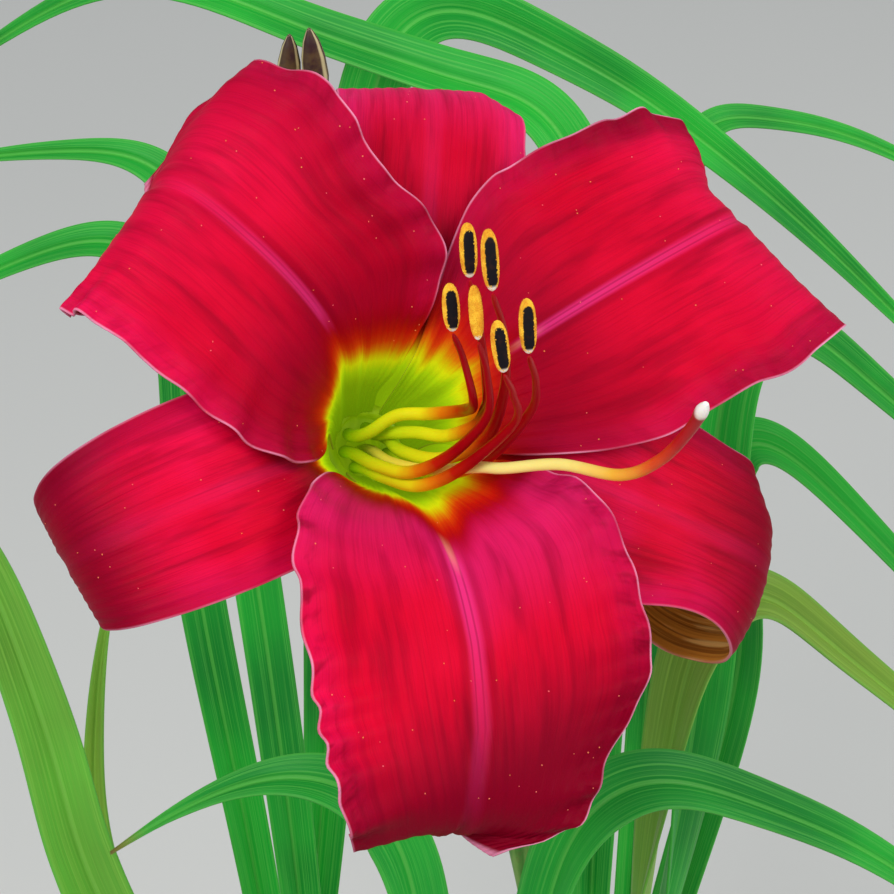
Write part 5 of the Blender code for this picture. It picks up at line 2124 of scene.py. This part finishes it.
@dataclass
class Scape:
    """The bare flower stem, the stalk of the open bloom, and the two young buds at the stem's end."""

    guide: tuple[tuple[float, float, float], ...] = (
        (28, 14, 180),
        (27, 11, 240),
        (21, 5, 310),
        (7, -1, 390),
        (-13, 0, 465),
        (-24, 4, 513),
    )
    socket_depth: float = 8 * MM
    foot_radius: float = 3.4 * MM
    neck_radius: float = 2.5 * MM
    top_radius: float = 4.0 * MM
    stalk_at: float = 0.8
    stalk_radius: float = 2.1 * MM
    buds: tuple[Bud, ...] = (
        Bud("bud_1", (-2.8 * MM, -0.2 * MM), (0.07, -0.05, 1.0), 15 * MM, 2.1 * MM),
        Bud("bud_2", (2.8 * MM, -0.6 * MM), (-0.08, -0.05, 1.0), 15 * MM, 2.2 * MM),
    )
    bud_outline: tuple[tuple[float, ...], tuple[float, ...]] = (
        (0, 0.04, 0.15, 0.4, 0.65, 0.85, 0.97, 1),
        (0, 0.5, 0.8, 1.0, 0.9, 0.6, 0.22, 0),
    )
    seam_depth: float = 0.07
    steps: int = 18
    tissue: Finish = StemFinish("scape_tissue")
    bud_tissue: Finish = BudFinish("bud_tissue")

    def path(self, count: int) -> np.ndarray:
        """The stem's line from its socket in the crown to its end."""
        foot = (self.guide[0][0] * MM, self.guide[0][1] * MM, CROWN_TOP - self.socket_depth + SEAT_GAP)
        return smooth_path([foot, *(np.asarray(self.guide) * MM)], count)

    def build_stem(self) -> None:
        """The scape, widened at its end to carry the buds."""
        path = self.path(160)
        share = np.linspace(0, 1, len(path))
        radii = self.foot_radius + (self.neck_radius - self.foot_radius) * share
        radii = radii + (self.top_radius - self.neck_radius) * smooth(share, 0.93, 1.0)
        seat(stem("scape_stem", path, radii, self.tissue, 28), Slot.STEM, "scape")

    def build_stalk(self) -> None:
        """The short stalk between the scape's side and the foot of the bloom's tube."""
        start = self.path(self.steps)[round(self.stalk_at * (self.steps - 1))]
        axis = unit(BLOOM_AXIS)
        end = np.asarray(THROAT) - axis * (FlowerTube().length + 1.6 * SEAT_GAP)
        away = unit((end - start) * (1, 1, 0.2))
        start = start + away * (self.neck_radius + 0.2 * MM + 2 * SEAT_GAP)
        path = smooth_path((start, start + away * 4 * MM, end - axis * 5 * MM, end), 50)
        flare = 0.35 * MM * smooth(np.abs(np.linspace(-1, 1, 50)), 0.7, 1.0)
        seat(stem("bloom_stalk_stem", path, self.stalk_radius + flare, self.tissue, 24), Slot.STEM, "bloom_stalk")

    def build_buds(self) -> None:
        """Two buds of folded tepals, three seams round each."""
        coarse = self.path(self.steps)
        x, y, z = axes_along(coarse[-1] - coarse[-2])
        share = np.linspace(0, 1, 44)
        wide = np.interp(share, *self.bud_outline)
        for bud in self.buds:
            foot = coarse[-1] + bud.foot[0] * x + bud.foot[1] * y + z * (SEAT_GAP + 0.3 * bud.radius)
            profile = np.stack([wide * bud.radius, share * bud.length], axis=1)
            place = (foot, *axes_along(bud.direction))
            made = lathe_object(f"{bud.name}_scales", profile, 48, place, self.bud_tissue, self.seam_depth, 3)
            seat(made, Slot.BUD, bud.name)

    def build(self) -> None:
        """Build the stem, the stalk and the buds."""
        self.build_stem()
        self.build_stalk()
        self.build_buds()


# ---------------------------------------------------------------- stage


@dataclass
class Stage:
    """Plain pale floor, soft light and the camera."""

    aim: tuple[float, float, float] = (0.0, -0.075, 0.500)
    distance: float = 0.380
    elevation: float = 35.0
    lens: float = 104.8
    sensor: float = 36.0
    nearest: float = 0.01
    farthest: float = 50.0
    floor_half: float = 6.0
    lamps: tuple[tuple[str, tuple[float, float, float], float, float], ...] = (
        ("front_panel", (-0.45, -0.85, 1.45), 0.7, 12.0),
        ("side_panel", (1.3, -0.3, 1.3), 0.9, 9.5),
    )
    sky: tuple = rgb(236, 240, 244)
    sky_strength: float = 0.48
    finish: Finish = StageFinish("pale_floor")

    def build_floor(self) -> None:
        """A wide floor that the pot stands on."""
        half = self.floor_half
        corners = np.array([(-half, -half, 0), (half, -half, 0), (half, half, 0), (-half, half, 0)])
        floor = mesh_object("floor", corners, [(0, 1, 2, 3)])
        floor.data.materials.append(self.finish.make())

    def build_camera(self) -> None:
        """A long lens that looks down on the bloom."""
        lean = math.radians(self.elevation)
        camera = bpy.data.cameras.new("camera")
        camera.lens = self.lens
        camera.sensor_width = self.sensor
        camera.clip_start = self.nearest
        camera.clip_end = self.farthest
        made = bpy.data.objects.new("camera", camera)
        back = Vector((0, -math.cos(lean), math.sin(lean))) * self.distance
        made.location = Vector(self.aim) + back
        made.rotation_euler = (math.pi / 2 - lean, 0, 0)
        bpy.context.scene.collection.objects.link(made)
        bpy.context.scene.camera = made

    def lamp(self, name: str, place: tuple[float, float, float], size: float, power: float) -> None:
        """A soft square light that shines at the bloom.

        Args:
            name: Its name.
            place: Where it stands, in metres.
            size: Its side.
            power: Its power in watts.
        """
        light = bpy.data.lights.new(name, "AREA")
        light.size = size
        light.energy = power
        made = bpy.data.objects.new(name, light)
        made.location = place
        made.rotation_euler = (Vector(self.aim) - Vector(place)).to_track_quat("-Z", "Y").to_euler()
        bpy.context.scene.collection.objects.link(made)

    def build_light(self) -> None:
        """A broad light from above, a weaker one from the right, and an even sky."""
        for name, place, size, power in self.lamps:
            self.lamp(name, place, size, power)
        world = bpy.data.worlds.new("even_sky")
        world.use_nodes = True
        sky = world.node_tree.nodes["Background"]
        sky.inputs["Color"].default_value = self.sky
        sky.inputs["Strength"].default_value = self.sky_strength
        bpy.context.scene.world = world
        bpy.context.scene.view_settings.view_transform = "Standard"

    def build(self) -> None:
        """Set the stage."""
        self.build_floor()
        self.build_camera()
        self.build_light()


def main() -> None:
    """Build the scene's sub-assemblies in order."""
    logging.basicConfig(level=logging.INFO, format="%(message)s")
    Stage().build()
    for part in (Pot(), Foliage(), Scape(), Bloom()):
        LOG.info("%s", type(part).__name__)
        part.build()


if __name__ == "__main__":
    main()
